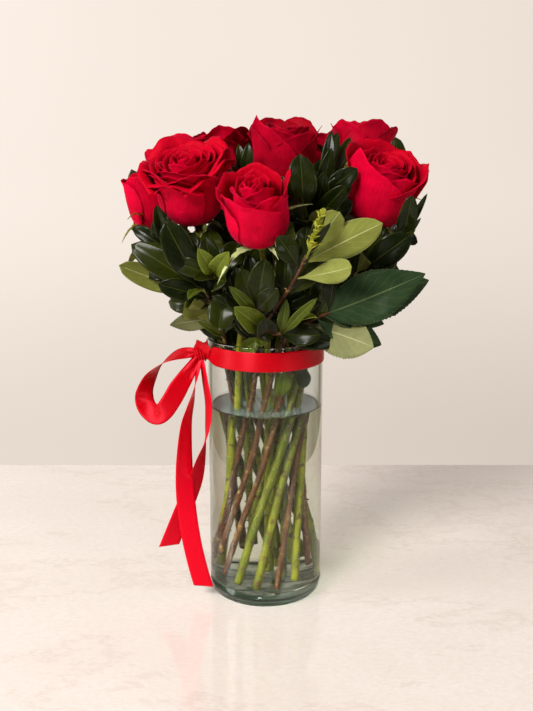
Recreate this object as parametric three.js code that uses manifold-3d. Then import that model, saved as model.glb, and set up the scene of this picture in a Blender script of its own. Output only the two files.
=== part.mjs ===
// Red roses and leafy stems in a glass cylinder vase that is tied with a satin ribbon.
// Millimetres, +Z up, +X to the right, -Y to the front. The origin is the centre of the vase's foot.
import * as THREE from "three";
import { mergeVertices } from "three/addons/utils/BufferGeometryUtils.js";
import Module from "manifold-3d";

const wasm = await Module();
wasm.setup();

// ---------------------------------------------------------------- driving dimensions

const VASE = { radius: 48.5, height: 228, wall: 3, floor: 9, footRound: 7, lip: 1.1, sides: 32 };
const WATER_TOP = 170;
const CLEAR = 0.3; // gap between pieces that touch
const NEAR = 0.5; // a leaf closer than this to another piece is bent clear
const SLIVER = { fine: 0.15, bloom: 0.3 }; // faces thinner than this are tidied away after a join
const RIBBON = { width: 16, thick: 0.8, bandBottom: 208 };
const ROSE_STEM = { radius: 2.9, neck: 2.3, sides: 5 };
const TWIG = { radius: 2.2, end: 1.2, sides: 5 };
const MOUTH_Z = 220; // height where the stems leave their straight run in the vase
const STEM_STEPS = 4;
const TWIST = 105; // degrees that a stem turns round the vase from mouth to foot
const SHELLS = { outer: 37, inner: 19.5, axis: 4 }; // rings that the stems stand on, by radius
const PETAL = { thick: 0.9, rise: 0.4, root: 0.78, slack: 1.06, edge: 0.3 };
const HEART = { foot: 4, sides: 8 };
const INNER = { count: 3, turn: 137.5, belly: 0.5, spread: 0.84, height: 0.92, wide: 60 };
const LEAF = { thick: 0.9, neck: 1.1 };
const SEPAL = { out: 21, wide: 6, turn: 20 };
const HIP = { radius: 4.6, height: 8 }; // swelling under each bloom

// Outer petals, each as [azimuth round the bloom, half width, share of the height, lean, curl], in
// degrees. From the front, azimuth -90 is nearest, 0 is to the right, 90 is behind and 180 to the left.
const CUPPED = [[-85, 47, 0.94, 2, 25], [5, 46, 1, 5, 35], [95, 47, 1, 3, 30], [185, 46, 0.97, 5, 35]];
const REFLEXED = [[-100, 46, 0.94, 8, 100], [-12, 46, 0.96, 8, 95], [76, 46, 1, 6, 70], [166, 47, 0.96, 8, 90]];

// Each rose: where its base is, which way it faces (degrees from upright, towards an azimuth), the
// radius of its belly, its height, its outer petals, and its stem's place in the vase.
const ROSES = [
  { name: "rose_front", base: [-1, -62, 312], tilt: 35, toward: 257, belly: 25, height: 60,
    ring: "outer", turn: 234, foot: 13,
    outer: [[-92, 46, 0.9, 1, 18], [-2, 47, 1, 5, 32], [88, 46, 1.04, 2, 15], [178, 47, 0.98, 6, 38]] },
  { name: "rose_left", base: [-58, -20, 325], tilt: 27, toward: 250, belly: 27, height: 62,
    ring: "outer", turn: 183, foot: 12,
    outer: [[-100, 46, 0.94, 8, 100], [-12, 46, 0.97, 8, 90], [76, 46, 1.02, 6, 60], [166, 47, 0.98, 8, 85]] },
  { name: "rose_right", base: [87, -8, 322], tilt: 26, toward: 296, belly: 28.5, height: 60,
    ring: "outer", turn: 336, foot: 16,
    outer: [[-118, 48, 1.02, 0, 14], [-23, 48, 0.96, 5, 40], [67, 46, 1, 3, 30], [155, 46, 1, 2, 25]] },
  { name: "rose_centre", base: [17, 20, 346], tilt: 5, toward: 80, belly: 26, height: 58,
    ring: "axis", turn: 50, foot: 20,
    outer: [[-80, 47, 0.86, 1, 20], [9, 46, 0.92, 4, 30], [98, 47, 1, 2, 20], [190, 47, 1.08, 4, 5]] },
  { name: "rose_back_left", base: [-30, 41, 341], tilt: 24, toward: 135, belly: 24, height: 54,
    ring: "inner", turn: 107, foot: 26,
    outer: REFLEXED },
  { name: "rose_back_right", base: [73, 42, 344], tilt: 22, toward: 35, belly: 25, height: 54,
    ring: "outer", turn: 2, foot: 14,
    outer: CUPPED },
  { name: "rose_far_left", base: [-92, -2, 316], tilt: 14, toward: 200, belly: 16, height: 49,
    ring: "outer", turn: 157, foot: 22,
    outer: [[-90, 46, 0.98, 0, 8], [0, 46, 0.9, 0, 10], [90, 46, 1, 0, 10], [180, 46, 1, 4, 14]] },
  { name: "rose_back_outer", base: [-64, 93, 330], tilt: 34, toward: 124, belly: 25, height: 56,
    ring: "outer", turn: 105, foot: 12,
    outer: CUPPED },
  { name: "rose_back", base: [30, 82, 333], tilt: 32, toward: 72, belly: 26, height: 56,
    ring: "outer", turn: 53, foot: 18,
    outer: REFLEXED },
];

// Leaf outlines: how early the leaf is widest (under 1 is nearer the base), arch and fold of the blade.
const KINDS = {
  obovate: { belly: 1.7, arch: 0.1, fold: 0.22, stations: [0.42, 0.8] },
  narrow: { belly: 1.3, arch: 0.06, fold: 0.3, stations: [0.6] },
  salal: { belly: 0.85, arch: 0.1, fold: 0.14, stations: [0.16, 0.42, 0.74] },
  sepal: { belly: 0.8, arch: 0.12, fold: 0.3, stations: [0.4] },
};

// Which way a leaf's upper face looks, where it isn't along its shoot.
const FACES = { front: [0, -1, 0.25], away: [0, 1, -0.2], up: [-0.1, -0.4, 1], left: [-1, -0.5, 0.3] };

// Each leafy stem: its place in the vase and its shoots. A shoot ends at tip. It holds whorls of leaves
// that grow by rule, and single leaves given as [share of the shoot, leaf tip, width, kind, face].
const LEAFY = [
  {
    name: "foliage_left", ring: "outer", turn: 208, foot: 30,
    shoots: [
      { tip: [-46, -46, 272], leaves: [
        [0.9, [-112, -52, 297], 17, "obovate", "away"], [0.95, [-103, -50, 311], 22, "obovate", "front"],
        [1, [-75, -66, 330], 25, "obovate", "front"], [0.85, [-82, -58, 281], 17, "obovate", "front"],
        [0.97, [-58, -76, 274], 9, "narrow", "up"], [0.6, [-64, -62, 263], 18, "obovate", "away"],
        [0.5, [-76, -44, 246], 20, "salal", "away"] ] },
      { tip: [-76, -33, 304], from: 0.7, leaves: [
        [1, [-85, -30, 345], 13, "narrow", "front"], [0.95, [-104, -30, 322], 12, "obovate", "front"],
        [0.9, [-100, -6, 300], 14, "obovate"], [0.8, [-92, 16, 296], 16, "obovate"] ] },
    ],
  },
  {
    name: "foliage_front_left", ring: "inner", turn: 210, foot: 40,
    shoots: [
      { tip: [-38, -62, 288], leaves: [
        [0.98, [-45, -66, 318], 16, "obovate", "front"], [1, [-49, -84, 312], 13, "obovate", "front"],
        [1, [-27, -88, 306], 14, "obovate", "front"], [0.9, [-30, -84, 288], 20, "obovate", "front"],
        [0.75, [-36, -66, 247], 22, "obovate", "front"], [0.8, [-52, -80, 290], 14, "obovate"] ] },
    ],
  },
  {
    name: "foliage_front", ring: "outer", turn: 260, foot: 12,
    shoots: [
      { tip: [30, -92, 309], arrive: [0.3, -0.3, 0.9], leaves: [
        [0.93, [84, -106, 334], 25, "narrow", "away"], [0.8, [63, -108, 303], 18, "obovate", "away"],
        [0.97, [54, -96, 341], 21, "obovate", "away"], [1, [43, -106, 344], 7, "narrow", "front"],
        [0.98, [46, -110, 334], 6, "narrow", "front"] ] },
      { tip: [-8, -64, 262], from: 0.12, leaves: [
        [1, [0, -84, 304], 20, "obovate", "front"], [0.95, [-18, -76, 296], 17, "obovate", "front"],
        [0.9, [-26, -86, 284], 9, "narrow", "front"], [0.7, [-22, -88, 268], 18, "obovate", "front"],
        [0.95, [9, -84, 282], 16, "obovate", "front"] ] },
      { tip: [14, -58, 242], from: 0.08, leaves: [
        [0.9, [0, -80, 258], 17, "obovate", "front"], [0.85, [42, -82, 243], 18, "obovate", "up"],
        [0.95, [16, -76, 272], 9, "narrow", "front"] ] },
    ],
  },
  {
    name: "foliage_salal_right", ring: "outer", turn: 286, foot: 34,
    shoots: [
      { tip: [50, -62, 260], leaves: [
        [0.95, [119, -80, 292], 42, "salal", "front"], [1, [126, -60, 284], 38, "salal", "front"],
        [0.9, [94, -50, 249], 24, "salal"], [0.6, [82, -96, 240], 35, "salal", "away"],
        [0.8, [86, -38, 234], 22, "salal"] ] },
    ],
  },
  {
    name: "foliage_right", ring: "outer", turn: 311, foot: 20,
    shoots: [
      { tip: [72, -44, 288], leaves: [
        [1, [112, -58, 321], 22, "obovate", "front"], [0.95, [74, -72, 308], 13, "obovate"],
        [0.85, [104, -28, 286], 20, "obovate"], [0.75, [92, -6, 270], 20, "obovate"] ] },
      { tip: [104, 0, 304], from: 0.6, leaves: [
        [1, [124, -14, 354], 17, "obovate", "away"], [0.9, [132, 8, 326], 16, "obovate"],
        [0.8, [118, 14, 300], 17, "obovate"], [0.85, [126, -22, 316], 14, "obovate"] ] },
    ],
  },
  {
    name: "foliage_top", ring: "inner", turn: 313, foot: 44,
    shoots: [
      { tip: [44, -36, 350], leaves: [
        [1, [51, -34, 396], 10, "narrow", "front"], [0.97, [57, -14, 395], 10, "narrow", "front"],
        [0.94, [67, -16, 391], 11, "narrow", "front"], [0.91, [50, -48, 383], 12, "narrow", "front"],
        [0.84, [44, -60, 366], 13, "narrow", "front"], [0.77, [60, -62, 356], 15, "obovate", "front"],
        [0.64, [46, -72, 340], 15, "obovate"] ] },
      { tip: [29, -47, 329], from: 0.7, leaves: [
        [1, [26, -56, 379], 22, "obovate", "front"], [0.9, [12, -48, 362], 16, "obovate", "front"],
        [0.82, [24, -66, 350], 14, "obovate"], [0.7, [34, -64, 318], 14, "obovate"] ] },
    ],
  },
  {
    name: "foliage_middle", ring: "inner", turn: 158, foot: 36,
    shoots: [
      { tip: [-16, -12, 352], leaves: [
        [1, [-21, -10, 385], 9, "narrow", "front"], [0.98, [-13, -14, 386], 10, "narrow", "front"] ],
        whorl: { leaves: 4, long: 32, wide: 14, from: 30, to: 80 } },
    ],
  },
  {
    name: "foliage_inner_back", ring: "inner", turn: 56, foot: 18,
    shoots: [
      { tip: [0, 64, 352], leaves: [], whorl: { leaves: 6, long: 34, wide: 15, from: 20, to: 85 } },
    ],
  },
  {
    name: "foliage_inner_right", ring: "inner", turn: 5, foot: 28,
    shoots: [
      { tip: [62, 22, 352], leaves: [], whorl: { leaves: 6, long: 36, wide: 15, from: 20, to: 85 } },
    ],
  },
  {
    name: "foliage_back_right", ring: "outer", turn: 28, foot: 14,
    shoots: [
      { tip: [86, 78, 318], leaves: [], whorl: { leaves: 5, long: 44, wide: 20, from: 18, to: 88 } },
      { tip: [104, 44, 306], from: 0.6, leaves: [], whorl: { leaves: 3, long: 40, wide: 19, from: 30, to: 85 } },
    ],
  },
  {
    name: "foliage_back", ring: "outer", turn: 79, foot: 26,
    shoots: [
      { tip: [-16, 102, 314], leaves: [], whorl: { leaves: 6, long: 46, wide: 21, from: 18, to: 88 } },
      { tip: [14, 84, 282], from: 0.6, leaves: [], whorl: { leaves: 3, long: 42, wide: 19, from: 30, to: 80 } },
    ],
  },
  {
    name: "foliage_back_left", ring: "outer", turn: 131, foot: 16,
    shoots: [
      { tip: [-100, 46, 308], leaves: [], whorl: { leaves: 5, long: 44, wide: 20, from: 18, to: 88 } },
      { tip: [-74, 64, 280], from: 0.6, leaves: [], whorl: { leaves: 3, long: 42, wide: 19, from: 30, to: 80 } },
    ],
  },
];

// Ribbon: each strip is a list of [centre x, y, z, and the direction of its width x, y, z].
const BOW = {
  knot: { at: [-54, -9, 214], size: [7, 7, 8.5] },
  loop: [
    [-54, -9, 214, 0, 0.6, 0.8], [-63, -10, 217, 0.15, 0.9, 0.35], [-74, -10, 213, 0.2, 0.95, 0.2],
    [-86, -11, 205, 0.35, 0.9, 0.2], [-96, -13, 194, 0.6, 0.75, 0.2], [-101, -15, 182, 0.8, 0.6, 0.1],
    [-101, -18, 171, 0.85, 0.5, -0.2], [-94, -22, 163, 0.8, 0.3, -0.5], [-83, -23, 169, 0.75, 0.1, -0.6],
    [-73, -20, 185, 0.8, 0.1, -0.5], [-64, -15, 201, 0.8, 0.1, -0.5], [-54, -10, 214, 0.8, 0.1, -0.6],
  ],
  frontTail: [
    [-54, -11, 212, -0.2, 1, 0], [-58, -18, 194, 0.1, 1, 0], [-63, -20, 177, 0.5, 0.85, 0],
    [-65, -22, 156, 0.8, 0.6, 0], [-68, -23, 129, 0.9, 0.4, 0], [-68, -25, 103, 1, 0.2, 0],
    [-66, -27, 77, 1, 0.1, 0], [-62, -29, 50, 0.97, 0, 0.1], [-57, -30, 27, 0.95, 0, 0.25],
    [-53, -31, 13, 0.92, 0, 0.35],
  ],
  backTail: [
    [-53, -11, 212, -0.25, 1, 0], [-48, -21, 190, -0.4, 0.9, 0], [-47, -24, 173, -0.4, 0.9, 0],
    [-49, -24, 151, -0.2, 0.95, 0], [-54, -21, 128, 0.4, 0.9, 0], [-60, -17, 104, 0.8, 0.6, -0.1],
    [-68, -14, 83, 0.9, 0.35, -0.2], [-77, -13, 60, 0.9, 0.25, -0.3], [-84, -12, 42, 0.9, 0.15, -0.35],
  ],
  stub: [[-54, -9, 214, 0.5, 0.8, 0], [-52, -13, 221, 0.6, 0.75, 0], [-50, -16, 229, 0.7, 0.7, 0.2]],
};

// ---------------------------------------------------------------- small helpers

const rad = THREE.MathUtils.degToRad;
const vec = (p) => new THREE.Vector3(p[0], p[1], p[2]);
const smooth = (t) => THREE.MathUtils.smoothstep(t, 0, 1);
const lerp = THREE.MathUtils.lerp;

/** Unit vector at a tilt from upright, leaning towards an azimuth, both in degrees. */
function leaning(tilt, azimuth) {
  const out = Math.sin(rad(tilt));
  return new THREE.Vector3(
    out * Math.cos(rad(azimuth)),
    out * Math.sin(rad(azimuth)),
    Math.cos(rad(tilt)),
  );
}

/** Two directions square to an axis: to the right as seen from the front, and away. */
function squareTo(axis) {
  const right = new THREE.Vector3(0, 1, 0).cross(axis).normalize();
  return { right, away: axis.clone().cross(right).normalize() };
}

/** A closed geometry as a manifold solid. */
function solid(geometry) {
  const bare = geometry.index ? geometry.toNonIndexed() : geometry.clone();
  bare.deleteAttribute("normal");
  bare.deleteAttribute("uv");
  const merged = mergeVertices(bare, 1e-4);
  return new wasm.Manifold(
    new wasm.Mesh({
      numProp: 3,
      vertProperties: new Float32Array(merged.attributes.position.array),
      triVerts: new Uint32Array(merged.index.array),
    }),
  );
}

/** Indexed points and faces, as a solid. */
function solidOf(points, faces) {
  const geometry = new THREE.BufferGeometry().setFromPoints(points);
  geometry.setIndex(faces);
  return solid(geometry);
}

/** A manifold solid as a named mesh. */
function meshOf(name, body, material) {
  const m = body.getMesh();
  const position = new Float32Array(m.numVert * 3);
  for (let i = 0; i < m.numVert; i++) {
    position.set(m.vertProperties.subarray(i * m.numProp, i * m.numProp + 3), i * 3);
  }
  const geometry = new THREE.BufferGeometry();
  geometry.setAttribute("position", new THREE.BufferAttribute(position, 3));
  geometry.setIndex(new THREE.BufferAttribute(m.triVerts, 1));
  const mesh = new THREE.Mesh(geometry, material);
  mesh.name = name;
  return mesh;
}

/** Rings of points joined into one closed body, capped at both ends or drawn in to a point. Its two
    halves are split alike, so that the faces of a thin twisted strip stay apart. */
function loft(rings, point) {
  const points = rings.flat();
  const n = rings[0].length;
  const faces = [];
  for (let i = 0; i < rings.length - 1; i++) {
    for (let j = 0; j < n; j++) {
      const a = i * n + j;
      const b = i * n + ((j + 1) % n);
      if (j < n / 2) faces.push(a, b, b + n, a, b + n, a + n);
      else faces.push(a, b, a + n, b, b + n, a + n);
    }
  }
  const last = (rings.length - 1) * n;
  for (let j = 1; j < n - 1; j++) {
    faces.push(0, j + 1, j);
    if (!point) faces.push(last, last + j, last + j + 1);
  }
  if (point) {
    points.push(point);
    for (let j = 0; j < n; j++) faces.push(last + j, last + ((j + 1) % n), points.length - 1);
  }
  return solidOf(points, faces);
}

/** A ring of points round a place, square to a direction. */
function ringAt(at, along, radius, sides) {
  const { right, away } = squareTo(along);
  return Array.from({ length: sides }, (_, j) => {
    const a = (2 * Math.PI * j) / sides;
    return at.clone()
      .addScaledVector(right, radius * Math.cos(a))
      .addScaledVector(away, radius * Math.sin(a));
  });
}

/** Everything joined, with slivers tidied and loose scraps dropped. */
function join(bodies, sliver = SLIVER.fine) {
  const whole = wasm.Manifold.union(bodies).simplify(sliver);
  const parts = whole.decompose().sort((a, b) => b.volume() - a.volume());
  return parts[0];
}

// ---------------------------------------------------------------- vase and water

function lathe(profile) {
  const geometry = new THREE.LatheGeometry(
    profile.map(([r, z]) => new THREE.Vector2(r, z)),
    VASE.sides,
  );
  return solid(geometry.rotateX(Math.PI / 2));
}

function vaseSolid() {
  const { radius, height, wall, floor, footRound, lip } = VASE;
  const inner = radius - wall;
  return lathe([
    [0, 0], [radius - footRound, 0], [radius - 0.3 * footRound, 0.3 * footRound], [radius, footRound],
    [radius, height - lip], [radius - lip, height], [inner + lip, height], [inner, height - lip],
    [inner, floor + 4], [inner - 4, floor], [0, floor],
  ]);
}

/** The water, with a plain hole where each stem stands. */
function waterSolid(stems) {
  const radius = VASE.radius - VASE.wall - CLEAR;
  const bottom = VASE.floor + CLEAR;
  const corner = 4;
  const full = lathe([
    [0, bottom], [radius - corner, bottom], [radius, bottom + corner], [radius, WATER_TOP], [0, WATER_TOP],
  ]);
  const holes = stems.map((s) => {
    const along = s.mouth.clone().sub(s.foot).normalize();
    const low = s.foot.clone().addScaledVector(along, -CLEAR);
    const grown = s.radius + CLEAR / Math.cos(Math.PI / s.sides);
    return loft([ringAt(low, along, grown, s.sides), ringAt(s.mouth, along, grown, s.sides)]);
  });
  return full.subtract(wasm.Manifold.union(holes));
}

// ---------------------------------------------------------------- stems

/** A stem's foot and mouth in the vase. All stems of a ring are rulings of one hyperboloid. */
function standing(item, radius, sides) {
  const ring = SHELLS[item.ring];
  const at = (turn, z) => new THREE.Vector3(ring * Math.cos(rad(turn)), ring * Math.sin(rad(turn)), z);
  const bottom = at(item.turn - TWIST, VASE.floor + CLEAR);
  const mouth = at(item.turn, MOUTH_Z);
  const foot = bottom.clone().lerp(mouth, (item.foot - bottom.z) / (MOUTH_Z - bottom.z));
  return { foot, mouth, radius, sides };
}

/** The curve from a stem's mouth to a place above, leaving along the stem. */
function rise(stand, end, arrive) {
  const along = stand.mouth.clone().sub(stand.foot).normalize();
  const reach = stand.mouth.distanceTo(end);
  const first = stand.mouth.clone().addScaledVector(along, 0.35 * reach);
  const second = arrive
    ? end.clone().addScaledVector(arrive, -0.35 * reach)
    : end.clone().lerp(first, 0.4);
  return new THREE.CubicBezierCurve3(stand.mouth, first, second, end);
}

function tube(rings) {
  return loft(rings.map(([at, along, radius, sides]) => ringAt(at, along, radius, sides)));
}

/** A stem from its foot up through its mouth and along its curve, with any further rings. */
function stemSolid(stand, curve, endRadius, more = []) {
  const along = stand.mouth.clone().sub(stand.foot).normalize();
  const rings = [[stand.foot, along, stand.radius, stand.sides]];
  for (let i = 0; i <= STEM_STEPS; i++) {
    const t = i / STEM_STEPS;
    rings.push([
      curve.getPoint(t), curve.getTangent(t), lerp(stand.radius, endRadius, t), stand.sides,
    ]);
  }
  return tube([...rings, ...more]);
}

// ---------------------------------------------------------------- rose bloom

/** A bloom's petals: inner ones that wind a golden angle on from each other, then the outer ones. */
function petalsOf(rose) {
  const inner = Array.from({ length: INNER.count }, (_, i) => {
    const share = i / (INNER.count - 1);
    return {
      inner: true,
      azimuth: rad(INNER.turn * i),
      belly: rose.belly * lerp(INNER.belly, INNER.spread, share),
      rise: PETAL.rise * rose.height,
      reach: (INNER.height - PETAL.rise) * rose.height,
      wide: rad(INNER.wide),
      lean: rad(lerp(-14, 2, share)),
      curl: rad(20),
    };
  });
  const outer = rose.outer.map(([azimuth, wide, height, lean, curl]) => ({
    inner: false,
    azimuth: rad(azimuth),
    belly: rose.belly,
    rise: PETAL.rise * rose.height,
    reach: (height - PETAL.rise) * rose.height * PETAL.slack,
    wide: rad(wide),
    lean: rad(lean),
    curl: rad(curl),
  }));
  return [...inner, ...outer];
}

/** A point of a petal: u runs across it from -1 to 1, v from its belly at 0 to its rim at 1. */
function petalPoint(p, u, v) {
  const reach = p.reach * v * (1 - PETAL.edge * Math.pow(Math.abs(u), 2.4));
  const steps = 8;
  let r = p.belly;
  let z = p.rise;
  for (let i = 0; i < steps; i++) {
    const q = ((i + 0.5) / steps) * v;
    const turn = p.lean * smooth(q / 0.7) + p.curl * smooth((q - 0.55) / 0.45);
    r += (Math.sin(turn) * reach) / steps;
    z += (Math.cos(turn) * reach) / steps;
  }
  const a = p.azimuth + p.wide * u;
  return new THREE.Vector3(r * Math.cos(a), r * Math.sin(a), z);
}

/** A thin closed blade over a grid of surface points: sharp at its rim, full thickness inside. */
function bladeSolid(rows, thick) {
  const nv = rows.length;
  const nu = rows[0].length;
  const points = [];
  const top = [];
  const bottom = [];
  const clampTo = (i, n) => Math.min(Math.max(i, 0), n - 1);
  for (let i = 0; i < nv; i++) {
    top.push([]);
    bottom.push([]);
    for (let j = 0; j < nu; j++) {
      const rim = i === nv - 1 || j === 0 || j === nu - 1;
      const alongU = rows[i][clampTo(j + 1, nu)].clone().sub(rows[i][clampTo(j - 1, nu)]);
      const alongV = rows[clampTo(i + 1, nv)][j].clone().sub(rows[clampTo(i - 1, nv)][j]);
      const normal = alongU.cross(alongV).normalize().multiplyScalar(thick / 2);
      top[i].push(points.length);
      points.push(rim ? rows[i][j].clone() : rows[i][j].clone().add(normal));
      if (rim) {
        bottom[i].push(points.length - 1);
      } else {
        bottom[i].push(points.length);
        points.push(rows[i][j].clone().sub(normal));
      }
    }
  }
  const faces = [];
  for (let i = 0; i < nv - 1; i++) {
    for (let j = 0; j < nu - 1; j++) {
      const [a, b, c, d] = [[i, j], [i, j + 1], [i + 1, j + 1], [i + 1, j]];
      const t = [a, b, c, d].map(([x, y]) => top[x][y]);
      const k = [a, b, c, d].map(([x, y]) => bottom[x][y]);
      faces.push(t[0], t[1], t[2], t[0], t[2], t[3]);
      faces.push(k[0], k[2], k[1], k[0], k[3], k[2]);
    }
  }
  for (let j = 0; j < nu - 1; j++) {
    const loop = [bottom[0][j], bottom[0][j + 1], top[0][j + 1], top[0][j]];
    if (loop[0] !== loop[3] && loop[1] !== loop[2]) {
      faces.push(loop[0], loop[1], loop[2], loop[0], loop[2], loop[3]);
    } else if (loop[0] !== loop[3]) {
      faces.push(loop[0], loop[1], loop[3]);
    } else if (loop[1] !== loop[2]) {
      faces.push(loop[0], loop[1], loop[2]);
    }
  }
  return solidOf(points, faces);
}

/** One petal. An outer one starts from a root inside the heart. */
function petalSolid(p) {
  const across = p.inner ? [-1, 0, 1] : [-1, -0.36, 0.36, 1];
  const rows = [0, 0.53, 1].map((v) => across.map((u) => petalPoint(p, u, v)));
  if (!p.inner) rows.unshift(rows[0].map((q) => q.clone().multiplyScalar(PETAL.root)));
  return bladeSolid(rows, PETAL.thick);
}

/** The closed heart of the bloom, rounded below, which the petals stand out of. */
function heartSolid(rose) {
  const { belly, height } = rose;
  const profile = [
    [0, 0], [HEART.foot, 0], [0.7 * belly, 0.12 * height], [0.97 * belly, 0.3 * height],
    [0.97 * belly, 0.43 * height], [0.4 * belly, 0.5 * height], [0, 0.76 * height],
  ];
  const geometry = new THREE.LatheGeometry(profile.map(([r, z]) => new THREE.Vector2(r, z)), HEART.sides);
  return solid(geometry.rotateX(Math.PI / 2));
}

function bloomSolid(rose) {
  const axis = leaning(rose.tilt, rose.toward);
  const { right, away } = squareTo(axis);
  const seat = new THREE.Matrix4().makeBasis(right, away, axis).setPosition(vec(rose.base));
  const bodies = [heartSolid(rose), ...petalsOf(rose).map(petalSolid)];
  return join(bodies, SLIVER.bloom).transform(seat.elements);
}

// ---------------------------------------------------------------- leaves

/** A thin arched blade from base to tip. face is the way its upper side looks. */
function leafSolid(base, tip, width, kind, face) {
  const shape = KINDS[kind];
  const chord = tip.clone().sub(base);
  const long = chord.length();
  const along = chord.clone().normalize();
  const side = along.clone().cross(face).normalize();
  const up = side.clone().cross(along).normalize();
  const middle = (t) => base.clone()
    .addScaledVector(along, long * t)
    .addScaledVector(up, -4 * shape.arch * long * t * (t - 1));
  const section = (t, half, thick) => {
    const m = middle(t);
    const lift = shape.fold * half;
    return [
      m.clone().addScaledVector(side, half).addScaledVector(up, lift),
      m.clone().addScaledVector(up, -thick / 2),
      m.clone().addScaledVector(side, -half).addScaledVector(up, lift),
      m.clone().addScaledVector(up, thick / 2),
    ];
  };
  const halfAt = (t) => (width / 2) * Math.pow(Math.sin(Math.PI * Math.pow(t, shape.belly)), 0.75);
  const rings = [section(0, LEAF.neck, 1.4)];
  shape.stations.forEach((t) => rings.push(section(t, halfAt(t), LEAF.thick)));
  return loft(rings, tip.clone());
}

const BENDS = [0, 10, -10, 20, -20, 32, -32, 45, -45];

/** The first of a few bends of a leaf that clears everything in place. Null if none does. */
function clearLeaf(spec, placed) {
  const along = spec.tip.clone().sub(spec.base);
  const side = along.clone().cross(spec.face).normalize();
  for (const yaw of BENDS.slice(0, 5)) {
    for (const pitch of BENDS) {
      const bent = along.clone()
        .applyAxisAngle(side, rad(pitch))
        .applyAxisAngle(spec.face.clone().normalize(), rad(yaw));
      const leaf = leafSolid(spec.base, spec.base.clone().add(bent), spec.width, spec.kind, spec.face);
      if (isClear(leaf, placed)) return leaf;
    }
  }
  return null;
}

function isClear(body, placed) {
  const a = body.boundingBox();
  return placed.every((other) => {
    const apart = [0, 1, 2].some(
      (k) => a.min[k] > other.box.max[k] + NEAR || a.max[k] < other.box.min[k] - NEAR,
    );
    return apart || other.body.minGap(body, NEAR) >= NEAR;
  });
}

// ---------------------------------------------------------------- whole stems

/** A rose's stem: the shaft, the hip under the bloom and its five sepals, bent back. */
function roseStem(rose, placed) {
  const axis = leaning(rose.tilt, rose.toward);
  const base = vec(rose.base);
  const stand = standing(rose, ROSE_STEM.radius, ROSE_STEM.sides);
  const top = base.clone().addScaledVector(axis, -CLEAR);
  const neck = top.clone().addScaledVector(axis, -HIP.height);
  const shaft = stemSolid(stand, rise(stand, neck, axis), ROSE_STEM.neck, [
    [neck.clone().addScaledVector(axis, 0.45 * HIP.height), axis, HIP.radius, stand.sides],
    [top, axis, 0.8 * HIP.radius, stand.sides],
  ]);
  const { right } = squareTo(axis);
  const sepals = Array.from({ length: 5 }, (_, i) => {
    const out = right.clone().applyAxisAngle(axis, rad(SEPAL.turn + 72 * i));
    const from = top.clone().addScaledVector(axis, -2);
    const tip = from.clone().addScaledVector(out, SEPAL.out).addScaledVector(axis, i % 2 ? -15 : -9);
    return clearLeaf({ base: from, tip, width: SEPAL.wide, kind: "sepal", face: axis }, placed);
  });
  return { stand, body: join([shaft, ...sepals.filter(Boolean)]) };
}

/** Leaves set round the end of a shoot, the outer ones longer and spread wider. */
function whorlOf(curve, whorl, spin) {
  const axis = curve.getTangent(1).normalize();
  const { right } = squareTo(axis);
  return Array.from({ length: whorl.leaves }, (_, i) => {
    const share = i / Math.max(whorl.leaves - 1, 1);
    const spread = rad(lerp(whorl.from, whorl.to, share));
    const out = right.clone().applyAxisAngle(axis, rad(spin + INNER.turn * i));
    const base = curve.getPoint(1 - 0.12 * share);
    const long = whorl.long * lerp(0.7, 1, share);
    const tip = base.clone()
      .addScaledVector(out, long * Math.sin(spread))
      .addScaledVector(axis, long * Math.cos(spread));
    return { base, tip, width: whorl.wide * lerp(0.75, 1, share), kind: "obovate", face: axis };
  });
}

/** One leafy stem: its twig, side shoots and leaves, each leaf bent clear of what is in place. */
function leafyStem(item, placed, report) {
  const stand = standing(item, TWIG.radius, TWIG.sides);
  const { tip, arrive } = item.shoots[0];
  const main = rise(stand, vec(tip), arrive && vec(arrive).normalize());
  const bodies = [stemSolid(stand, main, TWIG.end)];
  item.shoots.forEach((shoot, k) => {
    let curve = main;
    if (k > 0) {
      const from = main.getPoint(shoot.from);
      const end = vec(shoot.tip);
      const heading = from.clone().addScaledVector(main.getTangent(shoot.from), 0.4 * from.distanceTo(end));
      curve = new THREE.QuadraticBezierCurve3(from, heading, end);
      bodies.push(tube([0, 0.35, 0.7, 1].map((t) =>
        [curve.getPoint(t), curve.getTangent(t), lerp(1.7, TWIG.end, t), TWIG.sides])));
    }
    const singles = shoot.leaves.map(([share, tip, width, kind, face]) => ({
      base: curve.getPoint(share), tip: vec(tip), width, kind,
      face: face ? vec(FACES[face]) : curve.getTangent(1),
    }));
    const whorl = shoot.whorl ? whorlOf(curve, shoot.whorl, 40 * k) : [];
    [...singles, ...whorl].forEach((spec, i) => {
      const leaf = clearLeaf(spec, placed);
      if (leaf) bodies.push(leaf);
      else report.push(`${item.name} shoot ${k} leaf ${i}`);
    });
  });
  return { stand, body: join(bodies) };
}

// ---------------------------------------------------------------- ribbon

/** A flat strip of ribbon through its stations, by a smooth curve. */
function strip(stations, steps, narrow = []) {
  const centres = new THREE.CatmullRomCurve3(stations.map((s) => new THREE.Vector3(s[0], s[1], s[2])));
  const widths = new THREE.CatmullRomCurve3(stations.map((s) => new THREE.Vector3(s[3], s[4], s[5])));
  const rings = [];
  for (let i = 0; i <= steps; i++) {
    const t = i / steps;
    const along = centres.getTangent(t);
    const across = widths.getPoint(t);
    across.addScaledVector(along, -across.dot(along)).normalize();
    const normal = along.clone().cross(across).normalize();
    const first = lerp(narrow[0] ?? 1, 1, smooth(t / 0.2));
    const last = lerp(1, narrow[1] ?? 1, smooth((t - 0.8) / 0.2));
    const half = (RIBBON.width / 2) * first * last;
    rings.push([[-1, -1], [1, -1], [1, 1], [-1, 1]].map(([a, b]) => centres.getPoint(t)
      .addScaledVector(across, a * half)
      .addScaledVector(normal, (b * RIBBON.thick) / 2)));
  }
  return loft(rings);
}

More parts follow.
